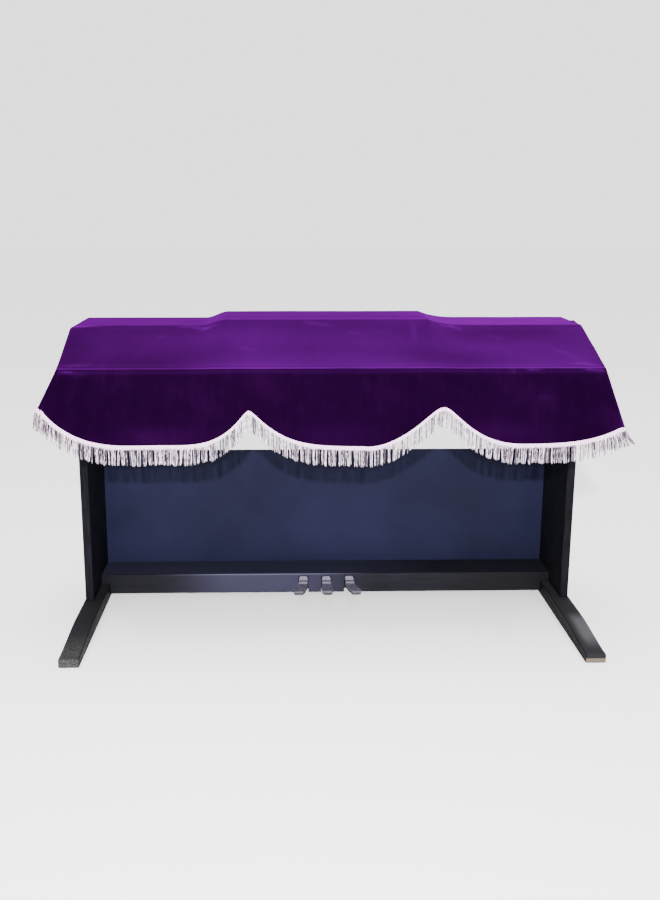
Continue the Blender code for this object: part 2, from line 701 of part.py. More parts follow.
# Each pedal as sections from its pivot to its tip
PEDAL_SECTIONS = [
    # y, half_width, top_z, thickness, splay
    (0.3530, 0.0095, 0.0510, 0.0140, 0.00),
    (0.3370, 0.0095, 0.0510, 0.0140, 0.00),
    (0.3000, 0.0095, 0.0510, 0.0110, 0.00),
    (0.2900, 0.0122, 0.0550, 0.0120, 0.00),
    (0.2715, 0.0125, 0.0560, 0.0125, 0.00),
    (0.2690, 0.0128, 0.0588, 0.0150, 0.00),
    (0.2640, 0.0130, 0.0490, 0.0075, 0.03),
    (0.2560, 0.0132, 0.0475, 0.0075, 0.08),
    (0.2525, 0.0134, 0.0430, 0.0065, 0.12),
    (0.2300, 0.0152, 0.0435, 0.0070, 0.50),
    (0.2080, 0.0156, 0.0450, 0.0070, 0.92),
    (0.1990, 0.0118, 0.0435, 0.0055, 1.00),
]
PEDAL_SPLAY = 0.016
PEDAL_EASE = 0.22           # easing of a pedal's edges as a share of its thickness


def build_pedal(n, name):
    bm = bmesh.new()
    middle = n * PEDAL_PITCH
    rings = []
    for y, half, top, thick, splay in PEDAL_SECTIONS:
        x = middle + n * PEDAL_SPLAY * splay
        ease = PEDAL_EASE * thick
        low = top - thick
        outline = [(-half, low + ease), (-half, top - ease), (-half + ease, top), (half - ease, top),
                   (half, top - ease), (half, low + ease), (half - ease, low), (-half + ease, low)]
        rings.append([bm.verts.new((x + dx, y, z)) for dx, z in outline])
    bm.faces.new(rings[0])
    bm.faces.new(rings[-1][::-1])
    for a, b in zip(rings, rings[1:]):
        for k in range(len(a)):
            m = (k + 1) % len(a)
            bm.faces.new((a[k], b[k], b[m], a[m]))
    bmesh.ops.triangulate(bm, faces=[f for f in bm.faces if len(f.verts) == 4])
    pedal = add_object(name, bm, PEDAL_METAL, 40)
    reach = PEDAL_SECTIONS[0][1] + OVERCUT
    bore = cylinder_mesh(AXLE_R + RUN_GAP, middle - reach, middle + reach, *PIVOT, AXLE_SIDES)
    cut(pedal, add_object(f"{name}_bore", bore, PEDAL_METAL))
    return pedal


hem = build_cover()
build_fringe("fringe_front", hem, "front", 11)
build_fringe("fringe_left", hem, "left", 12)
build_fringe("fringe_right", hem, "right", 13)
build_case()
build_keybed()
build_music_rest()
for side_sign, side_name in ((-1, "left"), (1, "right")):
    build_leg(side_sign, f"leg_{side_name}")
    build_foot(side_sign, f"foot_{side_name}")
build_back_panel()
build_pedal_bar()
build_axle()
for place, pedal_name in ((-1, "pedal_left"), (0, "pedal_middle"), (1, "pedal_right")):
    build_pedal(place, pedal_name)
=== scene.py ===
import bpy
import random
from math import cos, exp, pi, radians, sin, sqrt
from mathutils import Matrix, Vector, noise


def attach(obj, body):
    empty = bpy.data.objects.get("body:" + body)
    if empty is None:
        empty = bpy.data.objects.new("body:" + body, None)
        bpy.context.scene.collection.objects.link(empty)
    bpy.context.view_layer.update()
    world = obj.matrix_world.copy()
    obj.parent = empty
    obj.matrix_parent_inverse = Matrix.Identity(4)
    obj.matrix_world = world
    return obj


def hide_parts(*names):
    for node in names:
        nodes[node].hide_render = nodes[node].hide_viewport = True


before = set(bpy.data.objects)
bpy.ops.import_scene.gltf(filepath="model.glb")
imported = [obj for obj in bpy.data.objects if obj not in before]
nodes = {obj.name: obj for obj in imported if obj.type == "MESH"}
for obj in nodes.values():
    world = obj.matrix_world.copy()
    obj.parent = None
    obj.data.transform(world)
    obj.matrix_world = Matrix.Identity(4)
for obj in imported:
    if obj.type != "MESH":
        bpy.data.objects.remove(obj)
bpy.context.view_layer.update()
STANDING = "piano_and_cover"


# Feet and leg panels of the piano under the cloth: chipboard wrapped in a plain black foil with a fine
# ash grain, cut square, its edges only just broken. The feet are scuffed grey at their tips by shoes.
def linear(hex_colour):
    """sRGB hex to the linear colour that shaders use."""
    values = [int(hex_colour[i:i + 2], 16) / 255.0 for i in (0, 2, 4)]
    return tuple(v / 12.92 if v <= 0.04045 else ((v + 0.055) / 1.055) ** 2.4 for v in values) + (1.0,)


def add_node(tree, kind, settings=None, links=None):
    """Adds a node, sets its properties, and sets each input to a value or links it to an output."""
    made = tree.nodes.new(kind)
    for name, value in (settings or {}).items():
        setattr(made, name, value)
    for name, value in (links or {}).items():
        if isinstance(value, bpy.types.NodeSocket):
            tree.links.new(value, made.inputs[name])
        else:
            made.inputs[name].default_value = value
    return made


def start_material(name, roughness, specular):
    """A new material with its node tree and its shader."""
    mat = bpy.data.materials.new(name)
    mat.use_nodes = True
    shader = mat.node_tree.nodes["Principled BSDF"]
    shader.inputs["Roughness"].default_value = roughness
    shader.inputs["Specular IOR Level"].default_value = specular
    return mat, mat.node_tree, shader


def stops(ramp_node, *pairs):
    """Places the colours of a ramp."""
    elements = ramp_node.color_ramp.elements
    while len(elements) < len(pairs):
        elements.new(0.5)
    for element, (place, colour) in zip(elements, pairs):
        element.position = place
        element.color = linear(colour)
    return ramp_node.outputs["Color"]


# A Mix node has inputs of the same name for each kind of value: these are the ones for colours
MIX_SHARE, MIX_FROM, MIX_TO = 0, 6, 7
MIX_COLOUR = 2


def ash_foil(name, specular, stretch, dark, light, patches=()):
    """Printed foil: fine grain along the board and soft smears in its gloss. A patch is a part of the board
    drawn in another colour, for wear, speckles, painted highlights or painted shade: its limits, how strong
    it is, if it is speckled, and its colour.
    A limit is an axis, where along it the patch has ended and where it is full."""
    mat, tree, shader = start_material(name, roughness=0.55, specular=specular)
    place = add_node(tree, "ShaderNodeTexCoord").outputs["Object"]
    drawn = add_node(tree, "ShaderNodeMapping", links={"Vector": place, "Scale": stretch}).outputs["Vector"]
    # Real pores are 0.3 mm wide and too fine to show, so they are drawn about 3 mm wide
    grain = add_node(tree, "ShaderNodeTexNoise", links={
        "Vector": drawn, "Scale": 170.0, "Detail": 5.0, "Roughness": 0.6}).outputs["Fac"]
    colour = stops(add_node(tree, "ShaderNodeValToRGB", links={"Fac": grain}), (0.34, dark), (0.68, light))
    smear = add_node(tree, "ShaderNodeTexNoise", links={
        "Vector": place, "Scale": 9.0, "Detail": 4.0}).outputs["Fac"]
    gloss = add_node(tree, "ShaderNodeMapRange", links={
        "Value": smear, "From Min": 0.3, "From Max": 0.7, "To Min": 0.46, "To Max": 0.64})
    axes = add_node(tree, "ShaderNodeSeparateXYZ", links={"Vector": place}).outputs
    speckle = add_node(tree, "ShaderNodeTexNoise", links={
        "Vector": place, "Scale": 260.0, "Detail": 6.0, "Roughness": 0.75}).outputs["Fac"]
    patchy = add_node(tree, "ShaderNodeMapRange", links={
        "Value": speckle, "From Min": 0.42, "From Max": 0.66, "To Min": 0.0, "To Max": 1.0})
    for limits, amount, speckled, tint in patches:
        for axis, outside, inside in limits:
            near = add_node(tree, "ShaderNodeMapRange", {"interpolation_type": "SMOOTHSTEP"},
                            {"Value": axes[axis], "From Min": outside, "From Max": inside})
            amount = add_node(tree, "ShaderNodeMath", {"operation": "MULTIPLY"},
                              {0: amount, 1: near.outputs["Result"]}).outputs[0]
        if speckled:
            amount = add_node(tree, "ShaderNodeMath", {"operation": "MULTIPLY"},
                              {0: amount, 1: patchy.outputs["Result"]}).outputs[0]
        mixed = add_node(tree, "ShaderNodeMix", {"data_type": "RGBA"},
                         {MIX_SHARE: amount, MIX_FROM: colour, MIX_TO: linear(tint)})
        colour = mixed.outputs[MIX_COLOUR]
    tree.links.new(colour, shader.inputs["Base Color"])
    tree.links.new(gloss.outputs["Result"], shader.inputs["Roughness"])
    relief = add_node(tree, "ShaderNodeBump", links={"Strength": 0.2, "Distance": 0.0004, "Height": grain})
    tree.links.new(relief.outputs["Normal"], shader.inputs["Normal"])
    return mat


def dress(names, mat):
    """Gives carried-over boards their finish."""
    for name in names:
        nodes[name].data.materials.clear()
        nodes[name].data.materials.append(mat)


upright_foil = ash_foil("black_ash_foil_upright", specular=0.02, stretch=(1.0, 1.0, 0.10),
                        dark="0a0a0d", light="15151a")
dress(("leg_left", "leg_right"), upright_foil)

# The tops of the feet are painted lighter than their sides, as light from above falls, the right one more
# with a painted highlight in front of its leg; the left one's top is speckled grey towards its tip, and
# their tips are worn
ALONG_FOOT = (1.0, 0.12, 1.0)
FOOT_TIP = ("Y", -0.2670, -0.2684)
LEFT_TOP = [("X", -0.6378, -0.6405), ("X", -0.6876, -0.6850)]
left_foot_foil = ash_foil("black_ash_foil_left_foot", specular=0.02, stretch=ALONG_FOOT,
                          dark="0b0b0c", light="161618", patches=[
    # limits, strength, speckled, colour
    # painted light: the top face lighter than the sides
    (LEFT_TOP, 0.8, False, "1b1b1e"),
    # speckled grey over the front of the top
    (LEFT_TOP + [("Y", -0.12, -0.26)], 0.9, True, "434341"),
    ([FOOT_TIP], 0.9, True, "4a4946"),
])
dress(("foot_left",), left_foot_foil)
RIGHT_TOP = [("X", 0.6275, 0.6305), ("X", 0.6774, 0.6750)]
RIGHT_PAINTED_HIGHLIGHT = [("X", 0.632, 0.654), ("X", 0.6774, 0.6750), ("Y", -0.055, -0.11), ("Y", -0.25, -0.17)]
right_foot_foil = ash_foil("black_ash_foil_right_foot", specular=0.02, stretch=ALONG_FOOT,
                           dark="0b0b0c", light="161618", patches=[
    # limits, strength, speckled, colour
    # painted light: the top face lighter than the sides
    (RIGHT_TOP, 0.8, False, "222225"),
    # painted highlight on the top, in front of the leg
    (RIGHT_PAINTED_HIGHLIGHT, 0.9, False, "424245"),
    ([FOOT_TIP, ("Z", 0.0140, 0.0110)], 0.9, False, "5f564c"),
])
dress(("foot_right",), right_foot_foil)


# Back panel: a thin board between the legs, wrapped in dark blue-grey foil. Its satin face is a little
# cloudy where it has been wiped, which shows as slow changes of tone and gloss.
panel_foil, tree, shader = start_material("blue_grey_satin_foil", roughness=0.42, specular=0.03)
place = add_node(tree, "ShaderNodeTexCoord").outputs["Object"]
cloud = add_node(tree, "ShaderNodeTexNoise", links={
    "Vector": place, "Scale": 3.2, "Detail": 5.0}).outputs["Fac"]
tone = stops(add_node(tree, "ShaderNodeValToRGB", links={"Fac": cloud}), (0.32, "131324"), (0.68, "191a2e"))
tree.links.new(tone, shader.inputs["Base Color"])
wiped = add_node(tree, "ShaderNodeMapRange", links={
    "Value": cloud, "From Min": 0.35, "From Max": 0.65, "To Min": 0.40, "To Max": 0.52})
tree.links.new(wiped.outputs["Result"], shader.inputs["Roughness"])
pressed_grain = add_node(tree, "ShaderNodeTexNoise", links={
    "Vector": place, "Scale": 420.0, "Detail": 2.0}).outputs["Fac"]
relief = add_node(tree, "ShaderNodeBump", links={
    "Strength": 0.08, "Distance": 0.0003, "Height": pressed_grain})
tree.links.new(relief.outputs["Normal"], shader.inputs["Normal"])
dress(("back_panel",), panel_foil)


# Pedal bar: board in the same foil as the legs, with its grain along the bar. Its face is a little bluer
# than the uprights'. Light and shade are painted on it: its top is painted lighter and bluer towards the
# left, its face has a painted shine left of the pedals with a painted highlight along its upper edge, and
# painted shade darkens the face towards its ends.
BAR_FACE = ("Y", 0.1500, 0.1450)
BAR_PAINTED_SHINE = [BAR_FACE, ("X", 0.14, -0.10), ("X", -0.54, -0.26)]
ALONG_BAR = (0.08, 1.0, 1.0)
bar_foil = ash_foil("black_ash_foil_bar", specular=0.09, stretch=ALONG_BAR,
                    dark="0f0f14", light="17171e", patches=[
    # limits, strength, speckled, colour
    # painted light: the top lighter and bluer towards the left
    ([("Y", 0.1450, 0.1500), ("X", 0.35, 0.0)], 0.6, False, "222233"),
    # painted shine on the face left of the pedals
    (BAR_PAINTED_SHINE, 0.75, False, "2f2d40"),
    # painted highlight along the face's upper edge
    (BAR_PAINTED_SHINE + [("Z", 0.0625, 0.0645)], 0.6, False, "58556c"),
    # painted shade towards the left end
    ([BAR_FACE, ("X", -0.30, -0.50)], 0.5, False, "0a0a0c"),
    # painted shade towards the right end
    ([BAR_FACE, ("X", 0.20, 0.50)], 0.6, False, "0a090a"),
])
dress(("pedal_bar",), bar_foil)


# Felt strip: a sheet of black wool felt, laid on the floor of the bar's box and turned up behind the
# pedals, that stands in as painted shade inside the box. It is matt and nearly black, and no light shows
# past it through their notches.
SHADE_FELT_SIZE = (0.40, 0.0685)
SHADE_FELT_AT = (0.0, 0.2052, 0.0192)
SHADE_FELT_RISE = 0.0331
SHADE_FELT_BEND = 0.004
SHADE_FELT_THICK = 0.0020
bpy.ops.object.select_all(action="DESELECT")
bpy.ops.mesh.primitive_plane_add(size=1.0, location=SHADE_FELT_AT)
shade_felt_strip = bpy.context.object
shade_felt_strip.name = shade_felt_strip.data.name = "bar_shade_felt"
shade_felt_strip.scale = (*SHADE_FELT_SIZE, 1.0)
bpy.ops.object.transform_apply(location=True, rotation=True, scale=True)
bpy.ops.object.mode_set(mode="EDIT")
bpy.ops.mesh.select_mode(type="EDGE")
bpy.ops.mesh.select_all(action="DESELECT")
bpy.ops.object.mode_set(mode="OBJECT")
for edge in shade_felt_strip.data.edges:
    edge.select = all(shade_felt_strip.data.vertices[v].co.y > SHADE_FELT_AT[1] for v in edge.vertices)
bpy.ops.object.mode_set(mode="EDIT")
bpy.ops.mesh.extrude_region_move(TRANSFORM_OT_translate={"value": (0.0, 0.0, SHADE_FELT_RISE)})
bpy.ops.mesh.select_all(action="SELECT")
bpy.ops.mesh.normals_make_consistent(inside=False)
bpy.ops.object.mode_set(mode="OBJECT")
turned_up = shade_felt_strip.modifiers.new("turned_up", "BEVEL")
turned_up.width = SHADE_FELT_BEND
turned_up.segments = 3
shade_felt_cloth = shade_felt_strip.modifiers.new("shade_felt_thickness", "SOLIDIFY")
shade_felt_cloth.thickness = SHADE_FELT_THICK
shade_felt_cloth.offset = 0.0
for modifier in (turned_up, shade_felt_cloth):
    bpy.ops.object.modifier_apply(modifier=modifier.name)
shade_felt_strip.data.shade_smooth()
shade_felt, tree, shader = start_material("black_shade_felt", roughness=0.95, specular=0.1)
place = add_node(tree, "ShaderNodeTexCoord").outputs["Object"]
fibres = add_node(tree, "ShaderNodeTexNoise", links={
    "Vector": place, "Scale": 300.0, "Detail": 4.0}).outputs["Fac"]
# near-black colour: painted shade inside the bar's box
painted_shade_wool = stops(add_node(tree, "ShaderNodeValToRGB", links={"Fac": fibres}),
             (0.35, "050506"), (0.65, "101012"))
tree.links.new(painted_shade_wool, shader.inputs["Base Color"])
relief = add_node(tree, "ShaderNodeBump", links={"Strength": 0.3, "Distance": 0.0006, "Height": fibres})
tree.links.new(relief.outputs["Normal"], shader.inputs["Normal"])
shade_felt_strip.data.materials.append(shade_felt)
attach(shade_felt_strip, STANDING)


# Pedals and their axle: cast zinc, nickel plated and polished, dulled a little on top by soles. The
# three pedals turn on the one plain axle in the bar's box.
nickel, tree, shader = start_material("nickel_plated_zinc", roughness=0.3, specular=0.5)
shader.inputs["Metallic"].default_value = 1.0
place = add_node(tree, "ShaderNodeTexCoord").outputs["Object"]
rub = add_node(tree, "ShaderNodeTexNoise", links={
    "Vector": place, "Scale": 90.0, "Detail": 5.0}).outputs["Fac"]
plate = stops(add_node(tree, "ShaderNodeValToRGB", links={"Fac": rub}), (0.3, "5c5867"), (0.7, "757080"))
tree.links.new(plate, shader.inputs["Base Color"])
dulled = add_node(tree, "ShaderNodeMapRange", links={
    "Value": rub, "From Min": 0.3, "From Max": 0.7, "To Min": 0.64, "To Max": 0.80})
tree.links.new(dulled.outputs["Result"], shader.inputs["Roughness"])
dress(("pedal_left", "pedal_middle", "pedal_right", "pedal_axle"), nickel)


# Keybed, closed case and folded music rest: the same black boards, seen only from below and from behind
# under the cloth's edge.
case_foil = ash_foil("black_ash_foil_case", specular=0.09, stretch=ALONG_BAR,
                     dark="0f0f14", light="17171e")
dress(("keybed", "keyboard_case", "music_rest"), case_foil)


# The cover: one purple velvet cloth, cut in one piece with full front corners, thrown over the closed
# piano. It lies on the flat back strip, the slope of the lid and the folded music rest, is pressed to
# a crease along the front, and hangs in three uneven scallops in front and one on each side.

# All sizes of the cloth are given from the piano's middle and the cloth's front fold, on the floor
DATUM = Vector((-0.005148, -0.127712, 0.0))
CLOTH = 0.0018
COVER_HALF = 0.685
COVER_BACK = 0.386
FOLD_Z = 0.7244
FLAT_Z = 0.8073
BREAK_Y = 0.205
FOLD_R = 0.0022
BREAK_SOFT = 0.0016
BACK_HEM_Z = 0.622
FRONT_LOBES = [
    # start, start_z, low_at, low_z, end, end_z, power_down, power_up
    (-0.685, 0.6536, -0.433, 0.5298, -0.2117, 0.6308, 4.82, 3.62),
    (-0.2117, 0.6308, 0.0855, 0.5253, 0.2815, 0.6568, 3.54, 1.96),
    (0.2815, 0.6568, 0.4975, 0.5314, 0.685, 0.5978, 2.49, 3.33),
]
# How softly the hem turns at the peaks between the scallops, and its greatest height at each corner
PEAK_ROUND = (0.0227, 0.060)
CORNER_TOPS = (0.636, 0.583)
LEFT_LOBE = (0.0, 0.650, 0.200, 0.5340, 0.386, 0.622, 1.90, 3.0)
RIGHT_LOBE = (0.0, 0.596, 0.190, 0.5310, 0.386, 0.622, 3.00, 3.2)
FLARES = [
    # x_side, y_side, reach, spread
    (-1, 0, 0.0413, 0.150),
    (1, 0, 0.0439, 0.150),
    (-1, 1, 0.0090, 0.090),
    (1, 1, 0.0110, 0.090),
]
FLARE_TIP = 0.014
CORNER_R = 0.012
CORNER_STEPS = 12
# Slow waves of the drops: depth, length, and how far along the first one starts
FRONT_WAVES = [(0.0030, 0.46, 0.7), (0.0016, 0.21, 2.1)]
SIDE_WAVES = [(0.0034, 0.27, 0.4), (0.0014, 0.13, 1.2)]
DROP_LEAN = 0.006
WAVE_DROP = 0.19
WAVE_MOST = 1.3
DROP_BEND = 1.5
FRONT_FADE = 0.15
SIDE_FADE = (0.10, 0.08)
# The break of the lid runs forward at the left end of the cloth and back at the right one
BREAK_ENDS = [(-1, 0.165), (1, 0.232)]
BREAK_END_REACH = 0.050
# Small bumps of the cloth's right edge: place, height and half width
EDGE_NIBS = [(0.268, 0.0045, 0.020), (0.090, 0.0012, 0.030)]
CASE_HALF = 0.6805
# The folded music rest lifts the cloth: a ramp from foot to top at its left, and down again at its right
REST_FRONT = 0.199
REST_THICK = 0.0166
RISE_RAMPS = (-0.345, -0.281, 0.266, 0.364)
RIGHT_RAMP_POWER = 2.2
RISE_FRONT_SLOPE = 0.50
# Spacing of the cloth's points over the top, and their number round the fold and down the drops
COLUMN_STEP = 0.0074
ROW_STEP = 0.0074
DROP_LEVELS = 28
ROUND_STEPS = 4
# The cloth goes this far down under the fringe's heading
UNDER_HEADING = 0.008
# The back hem is stitched: levels of points above its edge, of which the middle one is drawn in
HEM_STITCH = (0.0225, 0.0210, 0.0195)
STITCH_MARGIN = 0.003
STITCH_LEVEL = 2
HEM_DIP = 0.0006
# The slope is this much longer, measured along the cloth, than it is deep
SLOPE_LONGER = 1.08

# Small creases of the top, from one point to another
TOP_CREASES = [
    # x0, y0, x1, y1, height, half_width
    (-0.400, 0.196, -0.352, 0.197, 0.0013, 0.0045),
    (-0.362, 0.192, -0.318, 0.180, 0.0016, 0.0060),
    (-0.345, 0.176, -0.300, 0.184, 0.0009, 0.0050),
    (-0.460, 0.150, -0.432, 0.146, 0.0006, 0.0050),
    (0.322, 0.200, 0.352, 0.178, 0.0016, 0.0050),
    (0.296, 0.188, 0.330, 0.190, 0.0010, 0.0050),
    (0.418, 0.152, 0.456, 0.134, 0.0006, 0.0055),
    (0.045, 0.142, 0.078, 0.140, 0.0006, 0.0045),
    (0.120, 0.142, 0.155, 0.144, 0.0004, 0.0045),
    (-0.062, 0.184, 0.000, 0.172, 0.0010, 0.0060),
    (0.222, 0.186, 0.218, 0.110, 0.0006, 0.0060),
    (-0.236, 0.084, -0.194, 0.070, 0.0008, 0.0050),
    (0.575, 0.088, 0.650, 0.020, 0.0007, 0.0080),
    (0.600, 0.024, 0.668, 0.010, 0.0014, 0.0050),
    (-0.668, 0.012, -0.610, 0.018, 0.0008, 0.0050),
]
# Part of a crease's length over which it fades, and how many half widths away it has gone
CREASE_FADE = 0.3
CREASE_REACH = 3.0
# The cloth doesn't lie quite flat: height and number of its slow rises and falls in a metre
LIE_HEIGHT = 0.0004
LIE_PER_METRE = 14.0
# A faint second press line runs a finger's width above the front crease
PRESS_LINE = (0.0175, 0.00012, 0.0022)
# The cloth falls in a little under the break of the lid, and the folded rest is thicker towards its hinge
BREAK_DIP = (0.1965, 0.0006, 0.0040)
REST_BACK_STEP = (0.235, 0.275, 0.0012)
# Small creases of the front drop, by X and height
DROP_CREASES = [
    # x0, z0, x1, z1, height, half_width
    (0.517, 0.651, 0.547, 0.652, 0.0016, 0.0035),
    (-0.668, 0.719, -0.640, 0.715, 0.0011, 0.0040),
    (-0.640, 0.710, -0.612, 0.712, 0.0012, 0.0040),
    (0.446, 0.7222, 0.456, 0.7185, 0.0008, 0.0030),
    (0.486, 0.7232, 0.522, 0.7205, 0.0010, 0.0030),
    (0.632, 0.7232, 0.680, 0.7205, 0.0012, 0.0032),
]
# Painted highlight just under the front crease: this far down, this tall, this much lighter
UNDER_FOLD_HIGHLIGHT = (0.006, 0.005, 0.085)
# A painted highlight runs along the fold: how much, how much that changes, and the changes in a metre
FOLD_PAINTED_HIGHLIGHT = (0.34, 0.40, 9.0)
# its half width, and the press line's fainter painted highlight
FOLD_HIGHLIGHT_HALF = 0.0030
PRESS_PAINTED_HIGHLIGHT = 0.08
# How much a crease is painted lighter, as a painted highlight, for each metre of its height
TOP_CREASE_HIGHLIGHT = 170.0
FOLD_CREASE_HIGHLIGHT = 240.0
DROP_CREASE_HIGHLIGHT = 50.0
FOLD_REACH = 0.010
# Strokes of hands on the slope: how strong, how much that changes, and the changes in a metre
STROKED = (0.5, 0.7)
STROKES_PER_METRE = (3.2, 11.0)
STROKED_UP_TO = (0.190, 0.210)
# painted light: the strokes grow lighter from the left end and towards the front crease
PAINTED_LIGHT_FROM_LEFT = (-0.60, -0.18)
PAINTED_LIGHT_NEAR_CREASE = (0.02, 0.17)
STROKED_LEAST = 0.08
PAINTED_LIGHT_MORE = 0.19
# The pile of the flat strip lies back, but for its right end, and so it looks a little darker
STRIP_LEAN = 0.095
STRIP_MIDDLE = 0.295
STRIP_RIGHT_END = (0.15, 0.40)
# Where the front drop is drawn lighter: low in each scallop, and a painted sheen where the right corner
# turns away
DROP_LIGHTER_PLACES = [
    # x, z, half_width, half_height, amount
    (-0.425, 0.552, 0.130, 0.026, 0.045),
    (0.010, 0.555, 0.150, 0.030, 0.03),
    (0.450, 0.560, 0.090, 0.026, 0.04),
    # painted sheen at the right corner's turn
    (0.725, 0.590, 0.020, 0.030, 0.06),
]
DROP_LIGHTER_REACH = 0.03


def smoothstep(a, b, t):
    """From 0 at a to 1 at b, with soft ends."""
    t = min(1.0, max(0.0, (t - a) / (b - a)))
    return t * t * (3.0 - 2.0 * t)


def soft_min(a, b, k):
    """The lower of two heights, rounded where they cross."""
    return 0.5 * (a + b - sqrt((a - b) ** 2 + k * k))


def soft_max(a, b, k):
    return 0.5 * (a + b + sqrt((a - b) ** 2 + k * k))


def crease_at(table, u, v):
    """Height of the creases at a point: each is a low ridge that fades out towards its ends."""
    total = 0.0
    for u0, v0, u1, v1, height, half in table:
        du, dv = u1 - u0, v1 - v0
        length = sqrt(du * du + dv * dv)
        t = ((u - u0) * du + (v - v0) * dv) / (length * length)
        if not -CREASE_FADE < t < 1.0 + CREASE_FADE:
            continue
        away = abs((u - u0) * dv - (v - v0) * du) / length
        if away < CREASE_REACH * half:
            ends = smoothstep(-CREASE_FADE, CREASE_FADE, t)
            ends *= 1.0 - smoothstep(1.0 - CREASE_FADE, 1.0 + CREASE_FADE, t)
            total += height * ends * exp(-(away / half) ** 2)
    return total


def drop_lighter_at(x, z):
    """How much the front drop is drawn lighter low in the scallops, and by the painted sheen at the right
    corner.
    """
    return sum(amount * exp(-((x - at_x) / half_x) ** 2 - ((z - at_z) / half_z) ** 2)
               for at_x, at_z, half_x, half_z, amount in DROP_LIGHTER_PLACES)


def strip_lean(x, y):
    """Height field whose rise towards the back tips the shading of the strip's pile forward."""
    return STRIP_LEAN * (1.0 - smoothstep(*STRIP_RIGHT_END, x)) * (max(y, BREAK_Y) - STRIP_MIDDLE)


def slope_patch(x, y):
    """Lighter strokes of the pile on the slope, where hands have stroked it up; painted light makes them
    stronger from the left end towards the middle and towards the front crease.
    """
    on_slope = 1.0 - smoothstep(*STROKED_UP_TO, y)
    across, up_slope = STROKES_PER_METRE
    mean, change = STROKED
    stroked_up = max(0.0, mean + change * noise.noise(Vector((across * x, up_slope * y, 5.0))))
    past_left = smoothstep(*PAINTED_LIGHT_FROM_LEFT, x)
    near_crease = 1.0 - smoothstep(*PAINTED_LIGHT_NEAR_CREASE, y)
    return on_slope * stroked_up * (STROKED_LEAST + PAINTED_LIGHT_MORE * past_left * (1.0 + near_crease))


def break_line(x):
    """Where the flat back strip ends and the slope begins."""
    y = BREAK_Y
    for side, end_y in BREAK_ENDS:
        near = exp(-((COVER_HALF - side * x) / BREAK_END_REACH) ** 2)
        y += (end_y - BREAK_Y) * near
    return y


def top_height(x, y):
    """The cloth's upper face over the back strip, the slope and the music rest, with its creases."""
    slope = FOLD_Z + (FLAT_Z - FOLD_Z) * y / BREAK_Y
    if break_line(x) < BREAK_Y:
        slope = max(slope, FOLD_Z + (FLAT_Z - FOLD_Z) * y / break_line(x))
    base = soft_min(FLAT_Z, slope, BREAK_SOFT)
    rise_z = FLAT_Z + REST_THICK - RISE_FRONT_SLOPE * max(0.0, REST_FRONT - y)
    left_foot, left_top, right_top, right_foot = RISE_RAMPS
    past_right = min(1.0, max(0.0, (x - right_top) / (right_foot - right_top)))
    across = smoothstep(left_foot, left_top, x) * (1.0 - past_right) ** RIGHT_RAMP_POWER
    rise = max(0.0, soft_max(rise_z, base, BREAK_SOFT) - base)
    rise += REST_BACK_STEP[2] * smoothstep(REST_BACK_STEP[0], REST_BACK_STEP[1], y)
    dip_y, depth, half = BREAK_DIP
    dip = depth * (1.0 - across) * exp(-((y - dip_y) / half) ** 2)
    lie = LIE_HEIGHT * (1.0 + noise.noise(Vector((x * LIE_PER_METRE, y * LIE_PER_METRE, 3.0))))
    nib = 0.0
    if x > CASE_HALF:
        nib = sum(height * exp(-((y - at) / half) ** 2) for at, height, half in EDGE_NIBS)
    line_y, line_height, line_half = PRESS_LINE
    pressed = line_height * exp(-((y - line_y) / line_half) ** 2)
    return base + across * rise + crease_at(TOP_CREASES, x, y) + pressed + lie + nib - dip


def lobe_height(lobe, t):
    """Hem height in one scallop: down to its lowest point and up again."""
    start, start_z, low_at, low_z, end, end_z, power_down, power_up = lobe
    if t < low_at:
        return low_z + (start_z - low_z) * ((low_at - t) / (low_at - start)) ** power_down
    return low_z + (end_z - low_z) * ((t - low_at) / (end - low_at)) ** power_up


def front_hem(x):
    first, second, third = FRONT_LOBES
    if x < second[2]:
        return soft_min(lobe_height(first, x), lobe_height(second, x), PEAK_ROUND[0])
    return soft_min(lobe_height(second, x), lobe_height(third, x), PEAK_ROUND[1])


def hem_height(x, y, side, angle):
    """Hem height at a place of the top edge. A corner takes its heights from the sides it joins."""
    if side == "corner":
        side_x = 1 if x > 0 else -1
        at_back = y > BREAK_Y
        past_ridge = abs(cos(angle)) - abs(sin(angle))
        along = CORNER_R * abs(past_ridge)
        if past_ridge > 0.0:
            side = "right" if side_x > 0 else "left"
            y = COVER_BACK - along if at_back else along
        else:
            side = "back" if at_back else "front"
            x = side_x * (COVER_HALF - along)
    most = CORNER_TOPS[0] if x < 0.0 else CORNER_TOPS[1]
    if side == "front":
        return min(most, front_hem(x)) if abs(x) > COVER_HALF - CORNER_R else front_hem(x)
    if side == "left":
        return min(most, lobe_height(LEFT_LOBE, y))
    if side == "right":
        return lobe_height(RIGHT_LOBE, y) if y > BREAK_Y else min(most, lobe_height(RIGHT_LOBE, y))
    return BACK_HEM_Z


def wave(table, t):
    return sum(depth * sin(2.0 * pi * t / length + start) for depth, length, start in table)


